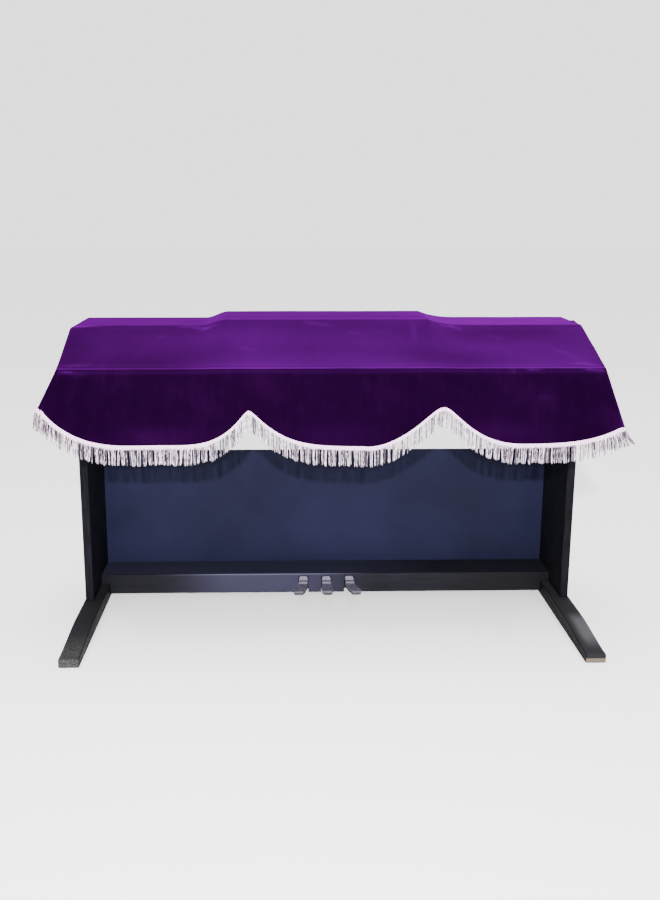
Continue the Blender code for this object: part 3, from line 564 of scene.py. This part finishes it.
def drop_point(x, y, side, angle, z, edge_z, hem_z):
    """The outer face of the drops: straight down from the edge, then leaned, waved and flared."""
    share = min(WAVE_MOST, max(0.0, (edge_z - z) / WAVE_DROP))
    radius = FOLD_R + (CORNER_R - FOLD_R) * min(1.0, share)
    if side == "corner":
        side_x = 1 if x > 0 else -1
        centre_x = side_x * (COVER_HALF - radius)
        centre_y = COVER_BACK - radius if y > BREAK_Y else radius
        px = centre_x + radius * cos(angle)
        py = centre_y + radius * sin(angle)
    elif side in ("front", "back"):
        px = x
        py = 0.0 if side == "front" else COVER_BACK
    else:
        px = COVER_HALF if side == "right" else -COVER_HALF
        py = y
    bend = share ** DROP_BEND
    if side == "front":
        ends = smoothstep(0.0, FRONT_FADE, COVER_HALF - abs(x))
        py += bend * ends * wave(FRONT_WAVES, x)
        py -= crease_at(DROP_CREASES, x, z)
    if side in ("left", "right"):
        ends = smoothstep(0.0, SIDE_FADE[0], y) * smoothstep(0.0, SIDE_FADE[1], COVER_BACK - y)
        out = DROP_LEAN + abs(wave(SIDE_WAVES, y))
        px += (1 if side == "right" else -1) * bend * ends * out
    fall = max(0.0, (edge_z - z) / (edge_z - hem_z))
    for x_side, y_side, reach, spread in FLARES:
        corner_y = COVER_BACK if y_side else 0.0
        along = abs(px - x_side * COVER_HALF) + abs(py - corner_y)
        along = max(0.0, along - radius * (2.0 - sqrt(2.0)))
        near = (sqrt(along ** 2 + FLARE_TIP ** 2) - FLARE_TIP) / spread
        if near >= 1.0:
            continue
        weight = (1.0 - near) ** 2 * fall * reach
        px += x_side * weight
        py += (1 if y_side else -1) * weight
    return Vector((px, py, z))


def spread_values(marks, step):
    """The marks, with even values between them about a step apart."""
    values = [marks[0]]
    for a, b in zip(marks, marks[1:]):
        parts = max(1, round((b - a) / step + 0.2))
        values += [a + (b - a) * i / parts for i in range(1, parts + 1)]
    return values


def edge_stations(xs, ys):
    """Places around the top edge: grid corner, side, corner angle."""
    last_x, last_y = len(xs) - 1, len(ys) - 1
    quarter = [0.5 * pi * step / CORNER_STEPS for step in range(CORNER_STEPS + 1)]
    places = [(i, 0, "front", None) for i in range(1, last_x)]
    places += [(last_x, 0, "corner", turn - 0.5 * pi) for turn in quarter]
    places += [(last_x, j, "right", None) for j in range(1, last_y)]
    places += [(last_x, last_y, "corner", turn) for turn in quarter]
    places += [(i, last_y, "back", None) for i in range(last_x - 1, 0, -1)]
    places += [(0, last_y, "corner", turn + 0.5 * pi) for turn in quarter]
    places += [(0, j, "left", None) for j in range(last_y - 1, 0, -1)]
    places += [(0, 0, "corner", turn + pi) for turn in quarter]
    return places


# Rows of points stand closer at the front crease and at the break of the lid
CREASE_ROWS = (0.0135, PRESS_LINE[0], 0.0215, 0.030)
BREAK_ROWS = (0.176, 0.190, REST_FRONT + 0.001, BREAK_Y, 0.212, 0.232)
CORNER_LAND = 0.004
BACK_RIDGE = 0.705   # sine of the corner angle at which the back's plain hem begins
inset = COVER_HALF - FOLD_R
land = COVER_HALF - CORNER_R - CORNER_LAND
columns = spread_values([-inset, -land, RISE_RAMPS[0], RISE_RAMPS[1], FRONT_LOBES[0][4], RISE_RAMPS[2],
                         FRONT_LOBES[1][4], RISE_RAMPS[3], land, inset], COLUMN_STEP)
rows = spread_values([FOLD_R, *CREASE_ROWS, *BREAK_ROWS, COVER_BACK - CORNER_R - CORNER_LAND,
                      COVER_BACK - FOLD_R], ROW_STEP)
stations = edge_stations(columns, rows)
points = []
cut_at = []          # where each point lies on the cloth as cut: the velvet's own UV map
lift = []            # painted highlights along folds and creases, painted light on the slope and drop, and lighter strokes of pile
lean = []            # height field that tips the pile's shading
top_index = {}
for i, x in enumerate(columns):
    for j, y in enumerate(rows):
        top_index[i, j] = len(points)
        points.append(Vector((x, y, top_height(x, y))))
        cut_at.append((x, y * SLOPE_LONGER))
        lean.append(strip_lean(x, y))
        # painted highlights along the fold, the press line and the creases, and the slope's strokes with
        # their painted light
        fold_highlight = FOLD_PAINTED_HIGHLIGHT[0] + FOLD_PAINTED_HIGHLIGHT[1] * noise.noise(Vector((FOLD_PAINTED_HIGHLIGHT[2] * x, 0.0, 1.0)))
        lift.append(fold_highlight * exp(-((y - FOLD_R) / FOLD_HIGHLIGHT_HALF) ** 2)
                    + PRESS_PAINTED_HIGHLIGHT * exp(-((y - PRESS_LINE[0]) / PRESS_LINE[2]) ** 2)
                    + TOP_CREASE_HIGHLIGHT * crease_at(TOP_CREASES, x, y) + slope_patch(x, y))
faces = []
for i in range(len(columns) - 1):
    for j in range(len(rows) - 1):
        faces.append((top_index[i, j], top_index[i + 1, j], top_index[i + 1, j + 1], top_index[i, j + 1]))
rings = []
hem_line = []        # outer hem point, downward direction and side, for the fringe
for i, j, side, angle in stations:
    x, y = columns[i], rows[j]
    edge_z = points[top_index[i, j]].z
    hem_z = hem_height(x, y, side, angle)
    outward = {"front": (0, -1), "back": (0, 1), "left": (-1, 0), "right": (1, 0)}.get(side)
    if outward is None:
        outward = (cos(angle), sin(angle))
    plain_hem = side == "back" or (side == "corner" and sin(angle) > BACK_RIDGE)
    ring = []
    for step in range(1, ROUND_STEPS + DROP_LEVELS + 1):
        if step <= ROUND_STEPS:
            turn = 0.5 * pi * step / ROUND_STEPS
            z = edge_z - FOLD_R * (1.0 - cos(turn))
            point = drop_point(x, y, side, angle, z, edge_z, hem_z)
            back = Vector((x - point.x, y - point.y, 0.0))
            if back.length > 1e-9:
                point += back.normalized() * min(back.length, FOLD_R * (1.0 - sin(turn)))
        else:
            level = step - ROUND_STEPS
            start = edge_z - FOLD_R
            z = start + (hem_z - start) * level / DROP_LEVELS
            before_hem = DROP_LEVELS - level
            if plain_hem and before_hem > 0:
                rest = DROP_LEVELS - len(HEM_STITCH)
                fall = hem_z + HEM_STITCH[0] + STITCH_MARGIN - start
                z = start + fall * min(level, rest - 1) / (rest - 1)
                if before_hem <= len(HEM_STITCH):
                    z = hem_z + HEM_STITCH[len(HEM_STITCH) - before_hem]
            point = drop_point(x, y, side, angle, z, edge_z, hem_z)
            if plain_hem and before_hem == STITCH_LEVEL:
                point -= Vector((outward[0], outward[1], 0.0)) * HEM_DIP
        down = edge_z - z
        ring.append(len(points))
        points.append(point)
        cut_at.append((x + outward[0] * down, (y + outward[1] * down) * SLOPE_LONGER))
        lean.append(strip_lean(x, y))
        crease = 0.0
        if side == "front":
            # painted highlights on the drop's creases, stronger near the fold, and just under the fold
            under_fold, tall, lighter = UNDER_FOLD_HIGHLIGHT
            rub = DROP_CREASE_HIGHLIGHT if down > FOLD_REACH else FOLD_CREASE_HIGHLIGHT
            crease = rub * crease_at(DROP_CREASES, x, z)
            crease += lighter * exp(-((down - under_fold) / tall) ** 2)
        crease += drop_lighter_at(point.x, z) if point.y < DROP_LIGHTER_REACH else 0.0
        lift.append(crease)
    low, above = points[ring[-1]], points[ring[-3]]
    way = (low - above).normalized()
    hem_line.append((low.copy(), way, side))
    if not plain_hem:
        ring.append(len(points))
        points.append(low + way * UNDER_HEADING)
        cut_at.append(cut_at[-1])
        lean.append(lean[-1])
        lift.append(0.0)
    else:
        ring.append(ring[-1])
    rings.append(ring)
count = len(rings)
for n in range(count):
    m = (n + 1) % count
    corner_n = top_index[stations[n][0], stations[n][1]]
    corner_m = top_index[stations[m][0], stations[m][1]]
    column_n, column_m = [corner_n] + rings[n], [corner_m] + rings[m]
    for k in range(len(column_n) - 1):
        around = (column_n[k], column_n[k + 1], column_m[k + 1], column_m[k])
        polygon = [index for at, index in enumerate(around) if index != around[at - 1]]
        if len(polygon) > 2:
            faces.append(tuple(polygon))


def add_mesh(name, vertices, polygons, uv=None):
    """A smooth-shaded object from points given from the datum."""
    mesh = bpy.data.meshes.new(name)
    mesh.from_pydata([tuple(v + DATUM) for v in vertices], [], polygons)
    if uv is not None:
        layer = mesh.uv_layers.new(name="UVMap")
        for loop in mesh.loops:
            layer.data[loop.index].uv = uv[loop.vertex_index]
    obj = bpy.data.objects.new(name, mesh)
    bpy.context.scene.collection.objects.link(obj)
    mesh.shade_smooth()
    return obj


cover = add_mesh("velvet_cover", points, faces, cut_at)
painted_light_layer = cover.data.attributes.new("pile_and_painted_light", "FLOAT", "POINT")
painted_light_layer.data.foreach_set("value", [min(1.0, value) for value in lift])
leaned = cover.data.attributes.new("pile_lean", "FLOAT", "POINT")
leaned.data.foreach_set("value", lean)
bpy.ops.object.select_all(action="DESELECT")
cover.select_set(True)
bpy.context.view_layer.objects.active = cover
bpy.ops.object.mode_set(mode="EDIT")
bpy.ops.mesh.select_all(action="SELECT")
bpy.ops.mesh.normals_make_consistent(inside=False)
bpy.ops.object.mode_set(mode="OBJECT")
thick = cover.modifiers.new("cloth_thickness", "SOLIDIFY")
thick.thickness = CLOTH
thick.offset = -1.0
bpy.ops.object.modifier_apply(modifier=thick.name)

# Cut-pile rayon velvet, dyed deep purple: nearly black where one looks straight into the pile and bright
# along the pile. It is mixed lighter by painted highlights along its folds and creases, painted light on
# the slope and front drop, and strokes of lighter pile. Single tufts are 0.1 mm and don't show, so the lie
# of the pile is drawn as patches of 20 to 120 mm and short strokes down the cloth.
velvet, tree, shader = start_material("purple_cut_pile_velvet", roughness=0.9, specular=0.0)
place = add_node(tree, "ShaderNodeTexCoord").outputs["UV"]
stroked = add_node(tree, "ShaderNodeMapping", links={
    "Vector": place, "Scale": (1.0, 0.3, 1.0)}).outputs["Vector"]
stroke = add_node(tree, "ShaderNodeTexNoise", {"noise_dimensions": "2D"},
                  {"Vector": stroked, "Scale": 48.0, "Detail": 4.0, "Roughness": 0.55}).outputs["Fac"]
patch = add_node(tree, "ShaderNodeTexNoise", {"noise_dimensions": "2D"},
                 {"Vector": place, "Scale": 8.0, "Detail": 3.0, "Roughness": 0.5}).outputs["Fac"]
fine = add_node(tree, "ShaderNodeMath", {"operation": "MULTIPLY"}, {0: stroke, 1: 0.4}).outputs[0]
pile_lie = add_node(tree, "ShaderNodeMath", {"operation": "MULTIPLY_ADD"},
                    {0: patch, 1: 0.6, 2: fine}).outputs[0]
dye = stops(add_node(tree, "ShaderNodeValToRGB", links={"Fac": pile_lie}),
            (0.28, "050009"), (0.50, "08000e"), (0.72, "0f0015"))
# painted highlights and painted light, with the lighter pile, mixed into the dye
painted_light_and_pile = add_node(tree, "ShaderNodeAttribute", {"attribute_name": "pile_and_painted_light"}).outputs["Fac"]
painted_light_share = add_node(tree, "ShaderNodeMath", {"operation": "MULTIPLY"}, {0: painted_light_and_pile, 1: 0.6}).outputs[0]
mixed = add_node(tree, "ShaderNodeMix", {"data_type": "RGBA"},
                 {MIX_SHARE: painted_light_share, MIX_FROM: dye, MIX_TO: linear("5c007a")})
tree.links.new(mixed.outputs[MIX_COLOUR], shader.inputs["Base Color"])
shader.inputs["Sheen Weight"].default_value = 1.0
shader.inputs["Sheen Roughness"].default_value = 0.525
shader.inputs["Sheen Tint"].default_value = linear("5e0079")
tufts = add_node(tree, "ShaderNodeTexNoise", {"noise_dimensions": "2D"},
                 {"Vector": place, "Scale": 380.0, "Detail": 2.0}).outputs["Fac"]
strip = add_node(tree, "ShaderNodeAttribute", {"attribute_name": "pile_lean"}).outputs["Fac"]
laid_back = add_node(tree, "ShaderNodeBump", links={"Strength": 1.0, "Distance": 1.0, "Height": strip})
leaning = add_node(tree, "ShaderNodeBump", links={"Strength": 0.5, "Distance": 0.004, "Height": pile_lie,
                                                  "Normal": laid_back.outputs["Normal"]})
relief = add_node(tree, "ShaderNodeBump", links={"Strength": 0.25, "Distance": 0.0006, "Height": tufts,
                                                 "Normal": leaning.outputs["Normal"]})
tree.links.new(relief.outputs["Normal"], shader.inputs["Normal"])
cover.data.materials.append(velvet)
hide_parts("cover")
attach(cover, STANDING)


# The fringe: a woven rayon heading 11 mm deep with corded edges, sewn over the hem, from which
# twisted yarns hang in loose locks. It runs round the front and both sides; each side's length
# starts and ends on a corner's ridge.
HEADING = 0.0108
HEADING_PROFILE = [
    # down from the hem, out from the cloth's face
    (-0.0004, 0.0003), (-0.0006, 0.0012), (0.0002, 0.0021), (0.0010, 0.0015), (0.0024, 0.0014),
    (0.0058, 0.0014), (0.0065, 0.0020), (0.0072, 0.0014), (0.0080, 0.0020), (0.0087, 0.0014),
    (0.0100, 0.0016), (0.0108, 0.0006), (0.0106, -0.0012), (0.0090, -0.0014), (0.0083, 0.0003),
]
YARN_R = 0.00088
YARN_LENGTH = 0.0462
YARN_PITCH = 0.0024
YARN_RINGS = 8
# Size and angle of the points round a yarn: two plies side by side, with a waist between them
YARN_SECTION = [(1.0, 0.45), (0.62, 0.5 * pi), (1.0, pi - 0.45), (1.0, pi + 0.45), (0.62, 1.5 * pi),
                (1.0, 2.0 * pi - 0.45)]
RING_TWIST = 0.55 * pi
ROOT_UP = 0.0034
ROOT_OUT = 0.0014
# Locks: number of yarns, gap to the next, how far the yarns draw together, and their lean and length
LOCK_YARNS = (2, 2, 3, 3, 4, 5, 6, 8)
LOCK_GAPS = (0.0004, 0.0032)
LOCK_CLING = (0.06, 0.28)
LOCK_LEAN = 0.0022
LOCK_OUT = (-0.0010, 0.0012)
LOCK_LONG = (0.95, 1.03)
LOCK_ROUND = (0.07, 2.5)
CLING_POWER = 0.8
# How far single yarns stray from their lock
YARN_SHIFT = 0.0007
YARN_LEAN = 0.0017
YARN_OUT = 0.0008
YARN_BOW = 0.0013
YARN_LONG = (0.96, 1.02)
# The back row starts lower and further in, is a little shorter, darker by painted shade, and leans in
BACK_ROW_DOWN = 0.0009
BACK_ROW_IN = 0.0026
BACK_ROW_LEAN = 0.0006
BACK_ROW_LONG = 0.98
BACK_ROW_PAINTED_SHADE = 0.25
# Yarn by yarn a tint from white to grey, whose darker end is painted shade between the yarns; along the
# twist painted highlights and shade; the cut tips drawn lighter
YARN_TINT_AND_SHADE = (-0.32, 0.93)
TWIST_PAINTED_LIGHT = (-0.60, 0.30)
CUT_TIP_SHADE = 0.22
CUT_TIP_RINGS = 2
CUT_TIP_SIZE = 0.6
# The yarns follow the cloth's face at their roots and hang nearly plumb at their tips
FOLLOW_ROOT = 0.62
FOLLOW_TIP = 0.10
PLUMB = Vector((0.0, 0.0, -1.0))
# At the front's right corner the yarns are flicked out and up
FLICK = 0.026
FLICK_REACH = 0.042
FLICK_WAY = Vector((1.0, -0.3, 0.6))
FLICK_FADE = 1.2
FLICK_RISE = 1.5
FLICK_DRAW = (0.7, 1.1)


def hem_frames():
    """For each hem point: the point, the level direction out of the cloth and the way down the cloth."""
    frames = []
    total = len(hem_line)
    for n, (point, down, _) in enumerate(hem_line):
        run = hem_line[(n + 1) % total][0] - hem_line[n - 1][0]
        level = Vector((run.x, run.y, 0.0)).normalized()
        frames.append((point, Vector((level.y, -level.x, 0.0)), down))
    return frames


def hem_stretch(frames, wanted):
    """The frames along one side, from the ridge of one corner to the ridge of the next."""
    index = [n for n, row in enumerate(hem_line) if row[2] == wanted]
    half = CORNER_STEPS // 2 + 1
    return [frames[n % len(frames)] for n in range(index[0] - half, index[-1] + half + 1)]


def build_heading(name, stretch):
    """The heading's section carried along the hem, closed at both ends."""
    vertices, polygons, uv = [], [], []
    sides = len(HEADING_PROFILE)
    run = 0.0
    for n, (point, out, down) in enumerate(stretch):
        if n:
            run += (point - stretch[n - 1][0]).length
        for drop, stand in HEADING_PROFILE:
            vertices.append(point + down * drop + out * stand)
            uv.append((run, drop))
    for n in range(len(stretch) - 1):
        for k in range(sides):
            m = (k + 1) % sides
            polygons.append((n * sides + k, n * sides + m, (n + 1) * sides + m, (n + 1) * sides + k))
    polygons.append(tuple(range(sides))[::-1])
    polygons.append(tuple(len(vertices) - sides + k for k in range(sides)))
    return add_mesh(name, vertices, polygons, uv)


def build_yarns(name, stretch, seed, flick_end):
    """Two-ply yarns in a front and a back row, drawn together into locks with gaps between them."""
    draw = random.Random(seed)
    lengths = [0.0]
    for a, b in zip(stretch, stretch[1:]):
        lengths.append(lengths[-1] + (b[0] - a[0]).length)
    full = lengths[-1]
    vertices, polygons, tints_and_shades = [], [], []
    sides = len(YARN_SECTION)
    lock_start = 0.0
    while lock_start < full - YARN_PITCH:
        in_lock = draw.choice(LOCK_YARNS)
        width = min(in_lock * YARN_PITCH, full - lock_start)
        in_lock = max(1, round(width / YARN_PITCH))
        middle = lock_start + 0.5 * width
        cling = draw.uniform(*LOCK_CLING)
        lock_lean = draw.uniform(-LOCK_LEAN, LOCK_LEAN)
        lock_out = draw.uniform(*LOCK_OUT)
        lock_long = draw.uniform(*LOCK_LONG)
        for row in (0, 1):
            for yarn in range(in_lock - row):
                place = lock_start + (yarn + 0.5 + 0.5 * row) * width / in_lock
                place += draw.uniform(-YARN_SHIFT, YARN_SHIFT)
                place = min(full - 1e-5, max(1e-5, place))
                piece = next(n for n in range(len(lengths) - 1) if lengths[n + 1] >= place)
                t = (place - lengths[piece]) / (lengths[piece + 1] - lengths[piece])
                a, b = stretch[piece], stretch[piece + 1]
                point = a[0].lerp(b[0], t)
                out = a[1].lerp(b[1], t).normalized()
                down = a[2].lerp(b[2], t).normalized()
                level = Vector((-out.y, out.x, 0.0))
                from_middle = (place - middle) / (0.5 * width + 1e-6)
                length = YARN_LENGTH * lock_long * (1.0 - LOCK_ROUND[0] * abs(from_middle) ** LOCK_ROUND[1])
                length *= draw.uniform(*YARN_LONG) * (BACK_ROW_LONG if row else 1.0)
                root = point + down * (HEADING - ROOT_UP + BACK_ROW_DOWN * row)
                root += out * (ROOT_OUT - BACK_ROW_IN * row)
                draw_in = -cling * (place - middle) + lock_lean + draw.uniform(-YARN_LEAN, YARN_LEAN)
                draw_out = lock_out + draw.uniform(-YARN_OUT, YARN_OUT) - BACK_ROW_LEAN * row
                flick = Vector((0.0, 0.0, 0.0))
                if flick_end:
                    gone = full - place if flick_end == "last" else place
                    near_end = max(0.0, 1.0 - gone / FLICK_REACH) ** FLICK_FADE
                    flick = FLICK_WAY * (FLICK * near_end * draw.uniform(*FLICK_DRAW))
                bow = draw.uniform(-YARN_BOW, YARN_BOW)
                turn0 = draw.uniform(0.0, 2.0 * pi)
                tint = draw.uniform(*YARN_TINT_AND_SHADE) - BACK_ROW_PAINTED_SHADE * row
                base = len(vertices)
                centre = root
                for ring in range(YARN_RINGS):
                    share = ring / (YARN_RINGS - 1)
                    if ring:
                        follow = FOLLOW_ROOT + (FOLLOW_TIP - FOLLOW_ROOT) * share
                        centre = centre + PLUMB.lerp(down, follow).normalized() * length / (YARN_RINGS - 1)
                    at = centre + level * (draw_in * share ** CLING_POWER + bow * sin(pi * share))
                    at += out * draw_out * share + flick * share ** FLICK_RISE
                    radius = YARN_R * (CUT_TIP_SIZE if ring == YARN_RINGS - 1 else 1.0)
                    twist = turn0 + RING_TWIST * ring
                    # painted highlight and shade along the twist
                    shade = tint + draw.uniform(*TWIST_PAINTED_LIGHT)
                    if ring >= YARN_RINGS - CUT_TIP_RINGS:
                        shade += CUT_TIP_SHADE
                    for size, angle in YARN_SECTION:
                        spoke = level * cos(angle + twist) + out * sin(angle + twist)
                        vertices.append(at + radius * size * spoke)
                        tints_and_shades.append(shade)
                for ring in range(YARN_RINGS - 1):
                    low, high = base + ring * sides, base + (ring + 1) * sides
                    for k in range(sides):
                        m = (k + 1) % sides
                        polygons.append((low + k, high + k, high + m, low + m))
                tip = base + (YARN_RINGS - 1) * sides
                polygons.append(tuple(tip + k for k in range(sides))[::-1])
                polygons.append(tuple(base + k for k in range(sides)))
        lock_start += width + draw.uniform(*LOCK_GAPS)
    obj = add_mesh(name, vertices, polygons)
    tint_layer = obj.data.attributes.new("yarn_tint_and_painted_shade", "FLOAT", "POINT")
    tint_layer.data.foreach_set("value", tints_and_shades)
    return obj


# Woven rayon heading: matt white with a lilac cast from the cloth's dye. Its weft ribs are 1.2 mm
# apart, drawn at 2.4 mm so that they show.
woven, tree, shader = start_material("woven_rayon_heading", roughness=0.7, specular=0.3)
place = add_node(tree, "ShaderNodeTexCoord").outputs["UV"]
weft = add_node(tree, "ShaderNodeTexWave", {"wave_type": "BANDS", "bands_direction": "X"},
                {"Vector": place, "Scale": 66.0, "Distortion": 1.2, "Detail": 2.0}).outputs["Fac"]
white = stops(add_node(tree, "ShaderNodeValToRGB", links={"Fac": weft}),
              (0.0, "cca4cf"), (0.6, "f2d0f0"))
tree.links.new(white, shader.inputs["Base Color"])
relief = add_node(tree, "ShaderNodeBump", links={"Strength": 0.4, "Distance": 0.0005, "Height": weft})
tree.links.new(relief.outputs["Normal"], shader.inputs["Normal"])

# Twisted rayon yarn: satin white, yarn by yarn a little lilac; its grey to near-black colours, by yarn and
# along each yarn's twist, are painted shade, and the lighter steps along the twist painted highlights.
rayon, tree, shader = start_material("twisted_rayon_yarn", roughness=0.45, specular=0.4)
tint = add_node(tree, "ShaderNodeAttribute", {"attribute_name": "yarn_tint_and_painted_shade"}).outputs["Fac"]
white = stops(add_node(tree, "ShaderNodeValToRGB", links={"Fac": tint}),
              (0.0, "3b3140"), (0.38, "bfa5bd"), (0.85, "fff3fb"))
tree.links.new(white, shader.inputs["Base Color"])
shader.inputs["Sheen Weight"].default_value = 0.2

FRINGES = [
    # side, seed of its random draws, end where the yarns are flicked out
    ("front", 5, "last"),
    ("left", 6, ""),
    ("right", 7, "first"),
]
all_frames = hem_frames()
for side, seed, flick_end in FRINGES:
    stretch = hem_stretch(all_frames, side)
    band = build_heading(f"fringe_{side}_heading", stretch)
    band.data.materials.append(woven)
    yarns = build_yarns(f"fringe_{side}_yarns", stretch, seed, flick_end)
    yarns.data.materials.append(rayon)
    for piece in (band, yarns):
        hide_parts(f"fringe_{side}")
        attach(piece, STANDING)


# The studio: a pale floor under a white surround, an even light from a white ceiling, a small
# softbox above the camera and a weak one behind.
bpy.ops.mesh.primitive_plane_add(size=40.0, location=(0.0, 0.0, 0.0))
floor = bpy.context.object
floor.name = "studio_floor"
pale, tree, shader = start_material("pale_floor", roughness=0.9, specular=0.2)
shader.inputs["Base Color"].default_value = linear("fafafa")
floor.data.materials.append(pale)

surround = bpy.data.worlds.new("white_surround")
bpy.context.scene.world = surround
surround.use_nodes = True
tree = surround.node_tree
background = tree.nodes["Background"]
background.inputs["Color"].default_value = linear("ffffff")
# What the camera sees behind the floor's edge is as light as the floor in front of it
seen = add_node(tree, "ShaderNodeLightPath").outputs["Is Camera Ray"]
seen_strength = add_node(tree, "ShaderNodeMapRange", links={"Value": seen, "To Min": 0.7, "To Max": 2.2})
tree.links.new(seen_strength.outputs["Result"], background.inputs["Strength"])


def softbox(name, place, target, size, watts):
    """A soft rectangular light at its place, turned to its target."""
    data = bpy.data.lights.new(name, "AREA")
    data.shape = "RECTANGLE"
    data.size, data.size_y = size
    data.energy = watts
    light = bpy.data.objects.new(name, data)
    bpy.context.scene.collection.objects.link(light)
    light.location = place
    light.rotation_euler = (Vector(target) - Vector(place)).to_track_quat("-Z", "Y").to_euler()


softbox("camera_softbox", place=(-0.21, -3.25, 1.86), target=(0.0, -0.1, 0.5),
        size=(0.10, 0.10), watts=380.0)
softbox("back_softbox", place=(1.6, 2.8, 2.5), target=(0.1, 0.0, 0.6),
        size=(1.6, 1.2), watts=18.0)
ceiling = bpy.data.lights.new("white_ceiling", "SUN")
ceiling.energy = 5.0
ceiling.angle = radians(50.0)
bpy.context.scene.collection.objects.link(bpy.data.objects.new("white_ceiling", ceiling))

# The camera stands where the photograph was taken from
CAMERA_AT = Vector((-0.119400, -2.170840, 1.123600)) + DATUM
CAMERA_YAW = radians(1.25)
CAMERA_PITCH = radians(11.36)
CAMERA_ROLL = radians(0.06)
PHOTO_FOCAL_PX = 888.5
PHOTO_AXIS_PX = (303.99, 384.08)
PHOTO_SIZE = (660, 900)
SENSOR = 36.0
lens = bpy.data.cameras.new("photo_camera")
lens.sensor_width = SENSOR
lens.lens = PHOTO_FOCAL_PX / PHOTO_SIZE[1] * SENSOR
lens.shift_x = (0.5 * PHOTO_SIZE[0] - PHOTO_AXIS_PX[0]) / PHOTO_SIZE[1]
lens.shift_y = (PHOTO_AXIS_PX[1] - 0.5 * PHOTO_SIZE[1]) / PHOTO_SIZE[1]
camera = bpy.data.objects.new("photo_camera", lens)
bpy.context.scene.collection.objects.link(camera)
forward = Vector((sin(CAMERA_YAW) * cos(CAMERA_PITCH), cos(CAMERA_YAW) * cos(CAMERA_PITCH),
                  -sin(CAMERA_PITCH)))
level_right = Vector((cos(CAMERA_YAW), -sin(CAMERA_YAW), 0.0))
level_up = level_right.cross(forward)
right = level_right * cos(CAMERA_ROLL) + level_up * sin(CAMERA_ROLL)
up = level_up * cos(CAMERA_ROLL) - level_right * sin(CAMERA_ROLL)
turned = Matrix((right, up, -forward)).transposed().to_4x4()
camera.matrix_world = Matrix.Translation(CAMERA_AT) @ turned
bpy.context.scene.camera = camera
